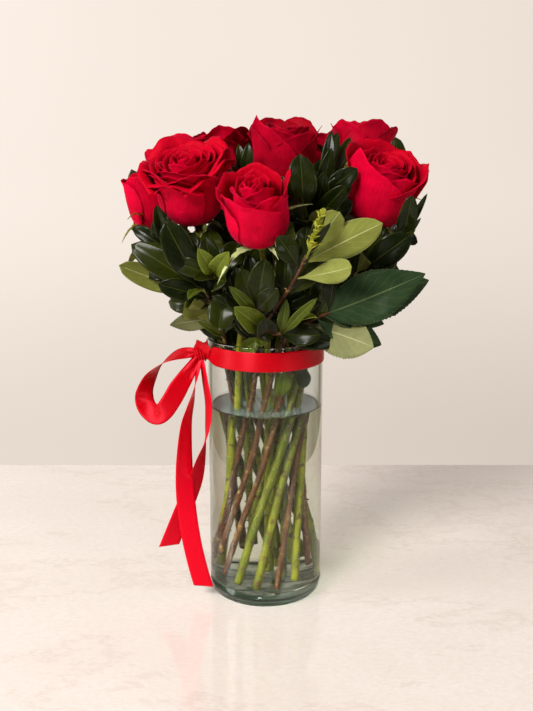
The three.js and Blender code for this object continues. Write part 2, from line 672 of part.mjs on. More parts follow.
function ribbonSolid() {
  const inner = VASE.radius + CLEAR;
  const outer = inner + RIBBON.thick;
  const low = RIBBON.bandBottom;
  const high = low + RIBBON.width;
  const band = lathe([[inner, low], [outer, low], [outer, high], [inner, high], [inner, low]]);
  const knot = solid(new THREE.SphereGeometry(1, 8, 5)).scale(BOW.knot.size).translate(BOW.knot.at);
  const vaseSpace = lathe([[0, 0], [inner, 0], [inner, VASE.height + 20], [0, VASE.height + 20]]);
  return join([
    band, knot, strip(BOW.loop, 15, [0.45, 0.5]), strip(BOW.frontTail, 8, [0.4]),
    strip(BOW.backTail, 8, [0.4]), strip(BOW.stub, 2, [0.5]),
  ]).subtract(vaseSpace);
}

// ---------------------------------------------------------------- assembly

const MATERIALS = {
  glass: new THREE.MeshStandardMaterial({ color: 0xcfe3dc, roughness: 0.05, transparent: true, opacity: 0.35 }),
  water: new THREE.MeshStandardMaterial({ color: 0xc8d2c4, roughness: 0.05, transparent: true, opacity: 0.4 }),
  petal: new THREE.MeshStandardMaterial({ color: 0xc4001e, roughness: 0.55 }),
  stem: new THREE.MeshStandardMaterial({ color: 0x7d8a2a, roughness: 0.5 }),
  leaf: new THREE.MeshStandardMaterial({ color: 0x24400f, roughness: 0.35 }),
  ribbon: new THREE.MeshStandardMaterial({ color: 0xe0001c, roughness: 0.3 }),
};

const group = new THREE.Group();
const placed = [];

/** Adds a piece to the object and to what later leaves have to clear. */
function add(name, body, material) {
  group.add(meshOf(name, body, material));
  placed.push({ body, box: body.boundingBox() });
}

add("vase", vaseSolid(), MATERIALS.glass);
add("ribbon", ribbonSolid(), MATERIALS.ribbon);
for (const rose of ROSES) add(rose.name + "_bloom", bloomSolid(rose), MATERIALS.petal);

const stands = [];
const leftOut = [];
for (const rose of ROSES) {
  const { stand, body } = roseStem(rose, placed);
  stands.push(stand);
  add(rose.name + "_stem", body, MATERIALS.stem);
}
for (const item of LEAFY) {
  const { stand, body } = leafyStem(item, placed, leftOut);
  stands.push(stand);
  add(item.name, body, MATERIALS.leaf);
}
add("water", waterSolid(stands), MATERIALS.water);

if (leftOut.length) console.log("leaves left out: " + leftOut.join("; "));

export default group;
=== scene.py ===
"""Red roses and leafy stems in a glass cylinder vase of water, tied with a satin ribbon.

Shapes are worked out in millimetres, +Z up, +X to the right and -Y to the front, and are scaled to
metres when a mesh is made.
"""

import math
import random

import bpy
import numpy as np
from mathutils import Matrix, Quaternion, Vector
from mathutils.bvhtree import BVHTree


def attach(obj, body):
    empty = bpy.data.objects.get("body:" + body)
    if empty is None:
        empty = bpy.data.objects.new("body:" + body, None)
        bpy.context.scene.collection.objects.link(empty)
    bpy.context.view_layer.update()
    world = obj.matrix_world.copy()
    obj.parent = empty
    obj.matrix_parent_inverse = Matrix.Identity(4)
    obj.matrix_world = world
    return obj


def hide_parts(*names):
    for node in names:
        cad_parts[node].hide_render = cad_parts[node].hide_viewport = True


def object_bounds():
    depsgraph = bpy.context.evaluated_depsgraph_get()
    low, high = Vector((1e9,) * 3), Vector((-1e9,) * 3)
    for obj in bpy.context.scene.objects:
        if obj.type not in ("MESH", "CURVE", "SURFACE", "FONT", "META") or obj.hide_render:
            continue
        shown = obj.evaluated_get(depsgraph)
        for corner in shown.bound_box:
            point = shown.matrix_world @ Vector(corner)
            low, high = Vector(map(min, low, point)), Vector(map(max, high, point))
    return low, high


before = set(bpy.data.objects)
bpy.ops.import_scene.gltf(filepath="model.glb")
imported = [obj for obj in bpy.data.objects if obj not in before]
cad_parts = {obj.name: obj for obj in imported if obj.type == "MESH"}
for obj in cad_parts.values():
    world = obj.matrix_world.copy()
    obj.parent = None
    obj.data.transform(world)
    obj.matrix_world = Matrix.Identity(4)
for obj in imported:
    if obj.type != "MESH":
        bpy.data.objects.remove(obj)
cad_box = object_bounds()
MM = 0.001
# The golden angle, in degrees.
GOLDEN = 137.5

# ---- sizes and places

VASE = {"radius": 48.5, "height": 228, "wall": 3, "floor": 9, "foot_round": 7}
WATER = {"top": 170, "creep": 1.2}
# The gap that a piece keeps from its neighbour.
CLEAR = 0.3
MOUTH_Z = 220
# Stems stand in rings. Each leans by the same twist from its foot to the vase's mouth.
SHELLS = {"outer": 37, "inner": 19.5, "axis": 4}
TWIST = 105
ROSE_STEM = {"radius": 3.25, "neck": 2.3, "swell": (0.55, 0.9, 1, 0.96, 0.8)}
HIP = {"radius": 4.6, "height": 8}
SEPAL = {"width": 6.5, "out": 21, "droop": (9, 15)}
TWIG = {"radius": 2.4, "side": 1.7, "end": 1.1}
# Petals: thickness, radius at the foot, and the shares of rows and of height that the bowl takes.
PETAL = {"thick": 0.24, "foot": 3.4, "belly": 0.4, "rise": 0.4}
LEAF_THICK = 0.4
RIBBON = {"width": 16, "thick": 0.35, "band_bottom": 208}
KNOT = {"turn": 193, "at": (-53.5, -12.2, 214), "half_width": 4.3, "reach": (4.2, 5.4)}

# Outer petals from the outermost in, each as (azimuth round the bloom, half width, share of the
# height, lean, curl, point, skew). Azimuth -90 is nearest, 0 is to the right, 90 is behind and 180
# to the left. The point says how far the petal's tip stands up, and the skew how far it is aside.
CUPPED = [
    (-95, 58, 0.94, 2, 34, 0.06, 0.2), (-15, 55, 0.95, 4, 44, 0.1, 0), (130, 55, 0.96, 3, 40, 0.08, 0),
    (60, 56, 0.97, 3, 40, 0.06, 0), (200, 56, 0.95, 4, 44, 0.1, 0.2),
]
REFLEXED = [
    (-100, 56, 0.9, 14, 84, 0.04, -0.3), (-32, 54, 0.93, 14, 78, 0.07, 0.2),
    (172, 56, 0.93, 13, 84, 0.06, 0), (38, 54, 0.96, 11, 66, 0.05, 0), (104, 56, 0.98, 10, 60, 0.05, 0.2),
    (-66, 50, 0.95, 9, 60, 0.04, 0), (4, 50, 0.96, 8, 56, 0.05, 0), (218, 50, 0.97, 9, 60, 0.04, 0),
]

# Each rose: its base, its tone (how bright its red is; this also paints light and shade on the whole
# bloom, lower for roses that sit in shade and higher for those in light), tilt and azimuth of facing,
# belly, height, how open it is (0 to 1), its inner petals and the share of the belly that they fill,
# its stem's ring, turn and foot height in the vase, its outer petals, and the tips of those of its
# sepals that stand out.
ROSES = {
    "rose_front": {
        "base": (-3, -62, 314), "tone": 0.8, "tilt": 27, "toward": 255, "belly": 23, "height": 56,
        "open": 0.1, "inner": 13, "fill": 0.74, "stem": ("outer", 234, 13),
        "outer": [
            (-18, 60, 0.95, 2, 30, 0.22, 0.4), (-108, 66, 0.86, 0, 26, 0.18, -0.85),
            (186, 48, 0.88, 3, 34, 0.1, 0), (84, 62, 0.9, 2, 24, 0.06, 0), (140, 52, 0.9, 1, 28, 0.06, 0),
            (-60, 50, 0.84, -3, 22, 0.05, 0),
        ],
        "sepals": [(-36, -88, 287), (35, -72, 345), (10, -86, 305)],
    },
    "rose_left": {
        "base": (-54, -20, 326), "tone": 1.05, "tilt": 25, "toward": 248, "belly": 26, "height": 60,
        "open": 1, "inner": 22, "fill": 0.97, "stem": ("outer", 183, 12),
        "outer": [
            (-122, 60, 0.86, 6, 100, 0.06, 0.1), (-44, 56, 0.93, 11, 80, 0.08, 0.3),
            (170, 54, 0.9, 8, 72, 0.06, 0), (-88, 54, 0.95, 9, 74, 0.05, 0.2),
            (32, 54, 0.96, 11, 66, 0.08, 0), (104, 56, 0.98, 9, 58, 0.05, 0.2),
            (-18, 50, 0.97, 8, 56, 0.05, 0), (216, 50, 0.95, 7, 56, 0.04, 0),
        ],
    },
    "rose_right": {
        "base": (84, -8, 324), "tone": 0.7, "tilt": 26, "toward": 296, "belly": 28, "height": 58,
        "open": 0.35, "inner": 18, "fill": 0.86, "stem": ("outer", 336, 16),
        "outer": [
            (-112, 76, 1.0, 0, 12, 0.38, -0.5), (-24, 58, 0.9, 4, 40, 0.16, 0.3),
            (14, 52, 0.88, 9, 52, 0.22, 0), (164, 54, 0.96, 2, 30, 0.1, 0),
            (104, 58, 0.95, 2, 34, 0.06, 0), (52, 54, 0.9, 4, 40, 0.06, 0),
            (-60, 52, 0.88, -2, 24, 0.1, 0),
        ],
        "sepals": [(122, -44, 345), (116, -50, 328), (112, -46, 318)],
    },
    "rose_centre": {
        "base": (15, 20, 346), "tone": -0.3, "tilt": 7, "toward": 275, "belly": 25, "height": 56,
        "open": 0.35, "inner": 16, "fill": 0.86, "stem": ("axis", 50, 20),
        "outer": [
            (-126, 64, 0.96, 1, 8, 0.36, -0.4), (-8, 54, 0.9, 5, 34, 0.12, 0.2),
            (-62, 54, 0.86, -1, 16, 0.12, 0.4), (62, 54, 0.96, 2, 34, 0.06, 0),
            (120, 56, 0.96, 2, 30, 0.05, 0), (196, 52, 0.9, 3, 26, 0.1, 0),
        ],
    },
    "rose_back_left": {
        "base": (-33, 41, 339), "tone": 0.2, "tilt": 24, "toward": 135, "belly": 24, "height": 54,
        "open": 0.8, "inner": 20, "fill": 0.92, "stem": ("inner", 107, 26), "outer": REFLEXED,
    },
    "rose_back_right": {
        "base": (76, 42, 343.5), "tone": -0.1, "tilt": 16, "toward": 60, "belly": 24.5, "height": 58,
        "open": 0.4, "inner": 18, "fill": 0.86, "stem": ("outer", 2, 14),
        "outer": [
            (-78, 60, 0.92, 1, 20, 0.16, 0.3), (-140, 56, 0.88, 2, 24, 0.1, 0),
            (-20, 56, 0.92, 2, 28, 0.12, 0), (50, 56, 0.96, 3, 34, 0.06, 0),
            (110, 56, 0.96, 3, 34, 0.06, 0), (172, 54, 0.9, 3, 30, 0.1, 0),
        ],
    },
    "rose_far_left": {
        "base": (-90, -2, 316), "tone": 0.6, "tilt": 13, "toward": 200, "belly": 16, "height": 47,
        "open": 0, "inner": 9, "fill": 0.86, "stem": ("outer", 157, 22),
        "outer": [
            (-85, 84, 0.94, 0, 10, 0.12, -0.3), (186, 76, 0.93, -2, 16, 0.03, 0),
            (5, 74, 0.92, 0, 12, 0.1, 0), (95, 76, 0.94, 0, 10, 0.08, 0),
        ],
        "sepals": [(-107, -40, 330), (-112, -42, 312), (-94, -40, 304)],
    },
    "rose_back_outer": {
        "base": (-64, 93, 330), "tone": 0.5, "tilt": 34, "toward": 124, "belly": 25, "height": 56,
        "open": 0.5, "inner": 18, "fill": 0.88, "stem": ("outer", 105, 12), "outer": CUPPED,
    },
    "rose_back": {
        "base": (30, 82, 333), "tone": 0.3, "tilt": 32, "toward": 72, "belly": 25, "height": 55,
        "open": 0.8, "inner": 20, "fill": 0.92, "stem": ("outer", 53, 18), "outer": REFLEXED,
    },
}

# Leaf kinds: where the leaf is widest (under 1 is nearer the base), how slender it is at its base
# and tip, its arch, its fold, its edge's waves, the depth and count of its teeth, its rows of
# points, and the materials of its upper and under side, by their place in the piece's list.
KINDS = {
    "obovate": {"belly": 1.45, "ends": (1.3, 0.5), "arch": 0.1, "fold": 0.2, "wave": 0.14,
                "teeth": (0, 0), "rows": 17, "skins": (0, 1)},
    "young": {"belly": 1.3, "ends": (1.1, 0.6), "arch": 0.12, "fold": 0.4, "wave": 0.2,
              "teeth": (0, 0), "rows": 17, "skins": (2, 1)},
    "narrow": {"belly": 1.2, "ends": (1.1, 0.65), "arch": 0.06, "fold": 0.3, "wave": 0.12,
               "teeth": (0, 0), "rows": 17, "skins": (0, 1)},
    "salal": {"belly": 0.9, "ends": (0.7, 0.9), "arch": 0.1, "fold": 0.14, "wave": 0.08,
              "teeth": (0.07, 26), "rows": 79, "skins": (3, 4)},
    "sepal": {"belly": 0.6, "ends": (0.6, 1.2), "arch": 0.2, "fold": 0.3, "wave": 0.3,
              "teeth": (0.5, 7), "rows": 29, "skins": (1, 1)},
}
FACES = {"front": (0, -1, 0.25), "away": (0, 1, -0.2), "up": (-0.1, -0.4, 1)}

# Each leafy stem: its ring, turn and foot height in the vase, and its shoots. A shoot ends at tip,
# in the direction arrive where that is given, and the later ones leave the first at the share from.
# It holds a whorl that grows by rule, as (leaves, length, width, spread of the inmost and of the
# outmost), and single leaves, as (share of the shoot, leaf tip, width, kind, face). These are
# obovate and face the front where they don't say otherwise, and a face of None is along the shoot.
LEAFY = {
    "foliage_left": {"stem": ("outer", 208, 30), "shoots": [
        {"tip": (-46, -46, 272), "leaves": [
            (0.9, (-113, -52, 295), 19, "obovate", "away"), (0.95, (-103, -50, 311), 22),
            (1, (-75, -66, 330), 25), (0.85, (-82, -58, 281), 17),
            (0.97, (-58, -76, 274), 9, "young", "up"), (0.6, (-64, -62, 263), 18, "obovate", "away"),
            (0.35, (-58, -62, 267), 14, "young", "away"), (0.2, (-52, -58, 252), 6, "young"),
            (0.5, (-76, -44, 246), 16, "salal", "away"), (0.7, (-77, -36, 263), 17),
        ]},
        {"tip": (-76, -33, 304), "from": 0.7, "leaves": [
            (1, (-85, -30, 345), 13, "narrow"), (0.95, (-104, -30, 322), 12),
            (0.9, (-100, -6, 300), 14, "obovate", None), (0.8, (-92, 16, 296), 16, "obovate", None),
        ]},
    ]},
    "foliage_front_left": {"stem": ("inner", 210, 40), "shoots": [
        {"tip": (-38, -62, 288), "leaves": [
            (0.98, (-45, -66, 318), 16), (1, (-49, -84, 312), 13, "young"),
            (1, (-27, -88, 310), 14, "young"), (0.9, (-30, -84, 288), 20), (0.75, (-36, -66, 247), 22),
            (0.8, (-52, -80, 290), 14, "obovate", None), (0.95, (-20, -46, 312), 18),
            (0.9, (-38, -46, 312), 18), (0.35, (-35, -46, 264), 20), (0.9, (-45, -32, 320), 18),
        ]},
    ]},
    "foliage_front": {"stem": ("outer", 260, 12), "shoots": [
        {"tip": (30, -92, 309), "arrive": (0.3, -0.3, 0.9), "leaves": [
            (0.93, (84, -106, 334), 25, "narrow", "away"), (0.8, (63, -108, 303), 18, "obovate", "away"),
            (0.97, (54, -96, 341), 21, "obovate", "away"), (1, (43, -106, 344), 7, "narrow"),
            (0.98, (46, -110, 334), 6, "narrow"),
        ]},
        {"tip": (-8, -64, 262), "from": 0.12, "leaves": [
            (1, (0, -84, 304), 20), (0.95, (-18, -76, 296), 17), (0.9, (-26, -86, 284), 9, "young"),
            (0.4, (-22, -86, 268), 18, "young"), (0.95, (9, -84, 282), 16),
            (0.05, (-3, -54, 231), 10, "young", "up"),
        ]},
        {"tip": (14, -58, 242), "from": 0.08, "leaves": [
            (0.6, (0, -80, 258), 17), (0.85, (42, -72, 244), 17), (0.8, (-8, -66, 246), 14),
            (0.95, (16, -76, 272), 9, "young"), (1, (38, -86, 275), 8, "young"),
            (1, (38, -80, 261), 12, "young", "up"),
        ]},
    ]},
    "foliage_salal_right": {"stem": ("outer", 286, 34), "shoots": [
        {"tip": (50, -62, 260), "leaves": [
            (0.95, (119, -80, 293), 39, "salal"), (1, (126, -60, 285), 35, "salal"),
            (0.9, (94, -50, 249), 24, "salal", None), (0.6, (82, -96, 240), 35, "salal", "away"),
            (0.8, (93, -46, 230), 26, "salal"),
        ]},
    ]},
    "foliage_right": {"stem": ("outer", 311, 20), "shoots": [
        {"tip": (72, -44, 288), "leaves": [
            (1, (110, -58, 319), 22), (0.95, (74, -72, 308), 13, "obovate", None),
            (0.85, (107, -32, 288), 20), (0.75, (92, -6, 270), 20, "obovate", None),
        ]},
        {"tip": (106, -26, 308), "from": 0.6, "leaves": [
            (1, (112, -42, 356), 15), (0.9, (115, 12, 316), 16), (0.8, (112, 14, 300), 17),
            (0.85, (113, -20, 307), 14), (1, (123, -50, 349), 6, "narrow"),
            (0.97, (118, -54, 331), 5, "narrow"), (0.94, (114, -54, 322), 5, "narrow"),
        ]},
    ]},
    "foliage_top": {"stem": ("inner", 313, 44), "shoots": [
        {"tip": (44, -36, 350), "leaves": [
            (1, (51, -34, 396), 10, "narrow"), (0.97, (57, -14, 395), 10, "narrow"),
            (0.94, (67, -16, 391), 11, "narrow"), (0.91, (50, -48, 383), 12, "narrow"),
            (0.84, (44, -60, 366), 13, "narrow"), (0.77, (60, -62, 356), 15),
            (0.64, (46, -72, 340), 15, "obovate", None),
        ]},
        {"tip": (29, -47, 329), "from": 0.7, "leaves": [
            (1, (26, -56, 379), 22), (0.9, (12, -48, 362), 16),
            (0.82, (24, -66, 350), 14, "obovate", None), (0.7, (34, -64, 318), 14, "obovate", None),
        ]},
    ]},
    "foliage_middle": {"stem": ("inner", 158, 36), "shoots": [
        {"tip": (-16, -12, 352), "whorl": (5, 32, 14, 30, 80), "leaves": [
            (1, (-21, -10, 385), 9, "narrow"), (0.98, (-13, -14, 386), 10, "narrow"),
        ]},
    ]},
    "foliage_inner_back": {"stem": ("inner", 56, 18), "shoots": [
        {"tip": (0, 64, 352), "whorl": (6, 34, 15, 20, 85)},
    ]},
    "foliage_inner_right": {"stem": ("inner", 5, 28), "shoots": [
        {"tip": (62, 22, 352), "whorl": (7, 36, 15, 20, 85)},
    ]},
    "foliage_back_right": {"stem": ("outer", 28, 14), "shoots": [
        {"tip": (86, 78, 318), "whorl": (6, 44, 20, 18, 88)},
        {"tip": (104, 44, 306), "from": 0.6, "whorl": (4, 40, 19, 30, 85)},
        {"tip": (110, 26, 350), "from": 0.7, "leaves": [(1, (106, 14, 389), 15)]},
    ]},
    "foliage_back": {"stem": ("outer", 79, 26), "shoots": [
        {"tip": (-16, 102, 314), "whorl": (7, 46, 21, 18, 88)},
        {"tip": (14, 84, 282), "from": 0.6, "whorl": (4, 42, 19, 30, 80)},
    ]},
    "foliage_back_left": {"stem": ("outer", 131, 16), "shoots": [
        {"tip": (-92, 46, 306), "whorl": (6, 42, 20, 18, 84), "leaves": [(1, (-112, 32, 362), 17)]},
        {"tip": (-74, 64, 280), "from": 0.6, "whorl": (4, 42, 19, 30, 80)},
    ]},
}
# Leaves inside the vase's mouth, as (base, tip, width, kind).
LEAVES_IN_VASE = [
    ((16, -27, 208), (13, -29, 183), 12, "young"), ((31, -22, 210), (30, -26, 189), 11, "obovate"),
    ((-30, 10, 212), (-27, 16, 182), 12, "obovate"), ((-18, 12, 214), (-20, 18, 176), 13, "obovate"),
    ((-4, 20, 212), (-8, 26, 184), 12, "obovate"), ((26, 14, 212), (31, 20, 186), 13, "obovate"),
    ((-34, 8, 200), (-39, 10, 234), 16, "obovate"), ((-28, 20, 198), (-33, 24, 236), 17, "obovate"),
    ((-18, 27, 200), (-22, 33, 234), 17, "obovate"), ((-6, 31, 198), (-8, 37, 236), 17, "obovate"),
    ((6, 31, 200), (7, 37, 233), 16, "obovate"), ((18, 28, 198), (20, 33, 236), 17, "obovate"),
    ((28, 20, 200), (33, 24, 234), 17, "obovate"), ((34, 9, 198), (39, 11, 235), 16, "obovate"),
    ((-24, -2, 206), (-30, -6, 238), 16, "obovate"), ((24, -4, 206), (30, -8, 238), 15, "obovate"),
    ((0, 8, 204), (2, 10, 236), 17, "obovate"), ((-1, -39, 236), (-19, -37, 224), 12, "young"),
]
# The leaves that fill a shoot by rule: how many are tried, the lowest base, how far a tip may come
# before its base, how far a tip may stand aside, and how far back leaves still face the viewer.
FILL = {"tries": 46, "lowest": 222, "before": 8, "aside": 108, "viewed": 20}
# Bends, in degrees, that a leaf tries in turn until it is clear of what is near it.
BENDS = (0, 10, -10, 20, -20, 32, -32, 45, -45)
BUDS = {"low": (31, -100, 311), "high": (41, -108, 342), "leaves": 21}

# Ribbon strips, as stations of (centre x, y, z, and the direction of the width x, y, z).
BOW = {
    "loop": [
        (-54, -10, 214, 0.1, 0.7, 0.7), (-63, -10, 215, 0.15, 0.8, 0.56),
        (-74, -10, 213, 0.15, 0.9, 0.35), (-86, -11, 206, 0.25, 0.95, 0.05),
        (-96, -13, 194, 0.7, 0.7, 0.15), (-101, -15, 181, 0.72, 0.5, 0.45),
        (-99, -19, 171, 0.62, 0.4, 0.65), (-91, -24, 165, 0.3, 0.25, 0.9),
        (-84, -26, 169, -0.5, 0.1, 0.8), (-77, -25, 179, -0.85, 0, 0.5),
        (-71, -21, 189, -0.95, -0.1, 0.3), (-62, -15, 202, -0.85, -0.1, 0.4),
        (-54, -11, 213, -0.8, 0, 0.6),
    ],
    "front_tail": [
        (-54, -12, 211, -0.3, 1, 0), (-57, -18, 196, -0.1, 1, 0), (-59, -20, 186, 0.05, 1, 0),
        (-62, -21, 173, 0.3, 0.95, 0), (-66, -22, 156, 0.52, 0.85, 0), (-68, -23, 129, 0.76, 0.65, 0),
        (-68, -25, 103, 0.93, 0.35, 0), (-66, -27, 77, 1, 0.1, 0), (-62, -29, 50, 0.97, 0, 0.1),
        (-57, -30, 27, 0.95, 0, 0.25), (-53, -31, 13, 0.92, 0, 0.35),
    ],
    "back_tail": [
        (-53, -12, 211, -0.25, 1, 0), (-50, -20, 194, -0.35, 0.9, 0), (-47, -24, 173, -0.4, 0.9, 0),
        (-49, -24, 151, -0.2, 0.95, 0), (-54, -21, 128, 0.4, 0.9, 0), (-60, -17, 104, 0.8, 0.6, -0.1),
        (-68, -14, 83, 0.9, 0.35, -0.2), (-77, -13, 60, 0.9, 0.25, -0.3),
        (-84, -12, 42, 0.9, 0.15, -0.35),
    ],
    "stub": [
        (-54, -11, 213, 0.75, -0.65, 0), (-52, -16, 219, 0.75, -0.65, 0), (-50, -19, 226, 0.8, -0.55, 0),
    ],
}

CAMERA = {"at": (1, -817, 417), "down": 14.22, "lens": 50.63}
TABLE = {"low": (-1600, -1400, -30), "high": (1600, 300, 0)}
WALL = {"dark": (0.66, 0.572, 0.498), "light": (0.97, 0.87, 0.782), "edge": (0.22, 0.175, 0.1)}
ROOM = {"dark": (0.11, 0.1, 0.09), "light": (0.5, 0.47, 0.44)}
# Round lamps, as (place, size in metres, watts, colour). All point at LAMP_AIM.
LAMPS = {
    "key": ((-1450, -2050, 1950), 1.2, 116, (1.0, 0.97, 0.94)),
    "window": ((-2300, -530, 1250), 0.9, 27, (1.0, 0.98, 0.96)),
    "fill": ((1700, -1550, 1100), 1.0, 13, (1.0, 0.96, 0.92)),
}
LAMP_AIM = (0, 0, 220)

# ---- camera


def make_camera():
    data = bpy.data.cameras.new("camera")
    data.lens = CAMERA["lens"]
    camera = bpy.data.objects.new("camera", data)
    camera.location = Vector(CAMERA["at"]) * MM
    camera.rotation_euler = (math.radians(90 - CAMERA["down"]), 0, 0)
    bpy.context.scene.collection.objects.link(camera)
    bpy.context.scene.camera = camera


make_camera()

# ---- small helpers


def lerp(a, b, t):
    return a + (b - a) * t


def smooth(t):
    """Smooth step from 0 to 1."""
    t = np.clip(t, 0, 1)
    return t * t * (3 - 2 * t)


def leaning(tilt, azimuth):
    """Unit vector at a tilt from upright, towards an azimuth, both in degrees."""
    t, a = math.radians(tilt), math.radians(azimuth)
    return Vector((math.sin(t) * math.cos(a), math.sin(t) * math.sin(a), math.cos(t)))


def square_to(axis):
    """Two directions square to an axis: to the right as seen from the front, and away."""
    right = Vector((0, 1, 0)).cross(axis).normalized()
    return right, axis.cross(right).normalized()


def turned(vector, axis, degrees):
    return Quaternion(axis, math.radians(degrees)) @ vector


def unit(rows):
    """Vectors along the last axis of an array, each scaled to length 1."""
    size = np.linalg.norm(rows, axis=-1, keepdims=True)
    return rows / np.maximum(size, 1e-9)


class Mesh:
    """Points and faces gathered for one piece, with a place in each sheet and a random draw."""

    def __init__(self):
        self.points, self.faces, self.places, self.draws = [], [], [], []
        self.kinds, self.soft = [], []
        self.count = 0

    def add(self, points, faces, places=None, draw=0.0, kinds=None, soft=None):
        points = np.asarray(points, float).reshape(-1, 3)
        if places is None:
            places = np.zeros((len(points), 2))
        self.points.append(points)
        self.faces += [tuple(int(i) + self.count for i in f) for f in faces]
        self.places.append(np.asarray(places, float).reshape(-1, 2))
        self.draws.append(np.full(len(points), draw))
        self.kinds += list(kinds) if kinds is not None else [0] * len(faces)
        self.soft += list(soft) if soft is not None else [True] * len(faces)
        self.count += len(points)

    def tree(self):
        return BVHTree.FromPolygons([Vector(p) for p in np.concatenate(self.points)], self.faces)

    def piece(self, name, materials, slot, nodes=()):
        """The gathered mesh as a piece of the object."""
        data = bpy.data.meshes.new(name)
        data.from_pydata((np.concatenate(self.points) * MM).tolist(), [], self.faces)
        place = data.attributes.new("place", "FLOAT2", "POINT")
        place.data.foreach_set("vector", np.concatenate(self.places).ravel())
        draw = data.attributes.new("draw", "FLOAT", "POINT")
        draw.data.foreach_set("value", np.concatenate(self.draws))
        for m in materials:
            data.materials.append(m)
        data.polygons.foreach_set("material_index", self.kinds)
        data.polygons.foreach_set("use_smooth", self.soft)
        data.update()
        made = bpy.data.objects.new(name, data)
        bpy.context.scene.collection.objects.link(made)
        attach(made, "root")
        if nodes:
            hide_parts(*nodes)
        return made


def quads(rows, columns):
    """The numbering of a grid of points, and its faces."""
    index = np.arange(rows * columns).reshape(rows, columns)
    corners = [index[:-1, :-1], index[:-1, 1:], index[1:, 1:], index[1:, :-1]]
    return index, np.stack(corners, -1).reshape(-1, 4)


def closed_sheet(mesh, grid, thick, draw=0.0, skins=(0, 0)):
    """Adds a thin closed sheet over a grid of points. skins are its two faces' material indices."""
    rows, columns = grid.shape[:2]
    normal = unit(np.cross(np.gradient(grid, axis=1), np.gradient(grid, axis=0)))
    top, bottom = grid + normal * thick / 2, grid - normal * thick / 2
    v, u = np.meshgrid(np.linspace(0, 1, rows), np.linspace(-1, 1, columns), indexing="ij")
    places = np.stack([u, v], -1).reshape(-1, 2)
    index, front = quads(rows, columns)
    far = rows * columns
    loop = np.concatenate([index[0, :-1], index[:-1, -1], index[-1, :0:-1], index[:0:-1, 0]])
    after = np.roll(loop, -1)
    rim = np.stack([loop, loop + far, after + far, after], -1)
    faces = np.concatenate([front, front[:, ::-1] + far, rim])
    kinds = [skins[0]] * len(front) + [skins[1]] * len(front) + [skins[0]] * len(rim)
    soft = [True] * (2 * len(front)) + [False] * len(rim)
    mesh.add(
        np.concatenate([top.reshape(-1, 3), bottom.reshape(-1, 3)]),
        faces, np.concatenate([places, places]), draw, kinds, soft,
    )


def lathe(mesh, profile, sides):
    """Adds a solid of revolution. Its profile starts and ends on the axis."""
    ring = profile[1:-1]
    angle = np.linspace(0, 2 * np.pi, sides, endpoint=False)
    r = np.array([p[0] for p in ring])[:, None]
    z = np.array([p[1] for p in ring])[:, None] + 0 * angle
    points = np.stack([r * np.cos(angle), r * np.sin(angle), z], -1).reshape(-1, 3).tolist()
    index = np.arange(len(ring) * sides).reshape(len(ring), sides)
    a, d = index[:-1], index[1:]
    faces = np.stack([a, np.roll(a, -1, 1), np.roll(d, -1, 1), d], -1).reshape(-1, 4).tolist()
    low, high = len(points), len(points) + 1
    points += [[0, 0, profile[0][1]], [0, 0, profile[-1][1]]]
    last = (len(ring) - 1) * sides
    faces += [[low, (j + 1) % sides, j] for j in range(sides)]
    faces += [[high, last + j, last + (j + 1) % sides] for j in range(sides)]
    mesh.add(points, faces)


def tube(mesh, points, radii, sides, draw=0.0):
    """Adds a closed tube along a list of points."""
    points = [Vector(p) for p in points]
    rings = []
    right = None
    for i, p in enumerate(points):
        along = (points[min(i + 1, len(points) - 1)] - points[max(i - 1, 0)]).normalized()
        if right is None:
            right = square_to(along)[0]
        else:
            right = (right - along * right.dot(along)).normalized()
        away = along.cross(right)
        for j in range(sides):
            a = 2 * math.pi * j / sides
            rings.append(p + (right * math.cos(a) + away * math.sin(a)) * radii[i])
    faces = []
    for i in range(len(points) - 1):
        for j in range(sides):
            a, b = i * sides + j, i * sides + (j + 1) % sides
            faces.append((a, b, b + sides, a + sides))
    last = (len(points) - 1) * sides
    faces.append(tuple(range(sides - 1, -1, -1)))
    faces.append(tuple(last + j for j in range(sides)))
    heights = np.repeat(np.linspace(0, 1, len(points)), sides)
    places = np.stack([np.tile(np.linspace(-1, 1, sides), len(points)), heights], -1)
    mesh.add(rings, faces, places, draw)


# ---- materials


class Nodes:
    """A node tree built by short calls. A value may be a number or another node's socket."""

    def __init__(self, tree):
        self.tree = tree

    def node(self, kind, settings=(), **inputs):
        made = self.tree.nodes.new(kind)
        for key, value in dict(settings).items():
            setattr(made, key, value)
        for key, value in inputs.items():
            socket = made.inputs[int(key[1:]) if key[1:].isdigit() else key]
            if isinstance(value, bpy.types.NodeSocket):
                self.tree.links.new(value, socket)
            else:
                socket.default_value = value
        return made

    def math(self, operation, a, b=0.0, c=0.0):
        return self.node("ShaderNodeMath", {"operation": operation}, i0=a, i1=b, i2=c).outputs[0]

    def range(self, value, low, high, to_low=0.0, to_high=1.0, eased=False):
        settings = {"interpolation_type": "SMOOTHSTEP" if eased else "LINEAR"}
        made = self.node("ShaderNodeMapRange", settings, i0=value, i1=low, i2=high, i3=to_low, i4=to_high)
        return made.outputs[0]

    def noise(self, scale, detail=2.0, vector=None, rough=0.5):
        where = vector or self.node("ShaderNodeTexCoord").outputs["Object"]
        made = self.node("ShaderNodeTexNoise", Vector=where, Scale=scale, Detail=detail, Roughness=rough)
        return made.outputs[0]

    def mix(self, factor, a, b):
        made = self.node("ShaderNodeMix", {"data_type": "RGBA"}, i0=factor)
        for slot, value in ((6, a), (7, b)):
            if isinstance(value, bpy.types.NodeSocket):
                self.tree.links.new(value, made.inputs[slot])
            else:
                made.inputs[slot].default_value = (*value, 1)
        return made.outputs[2]

    def vector(self, x, y, z=0.0):
        return self.node("ShaderNodeCombineXYZ", i0=x, i1=y, i2=z).outputs[0]


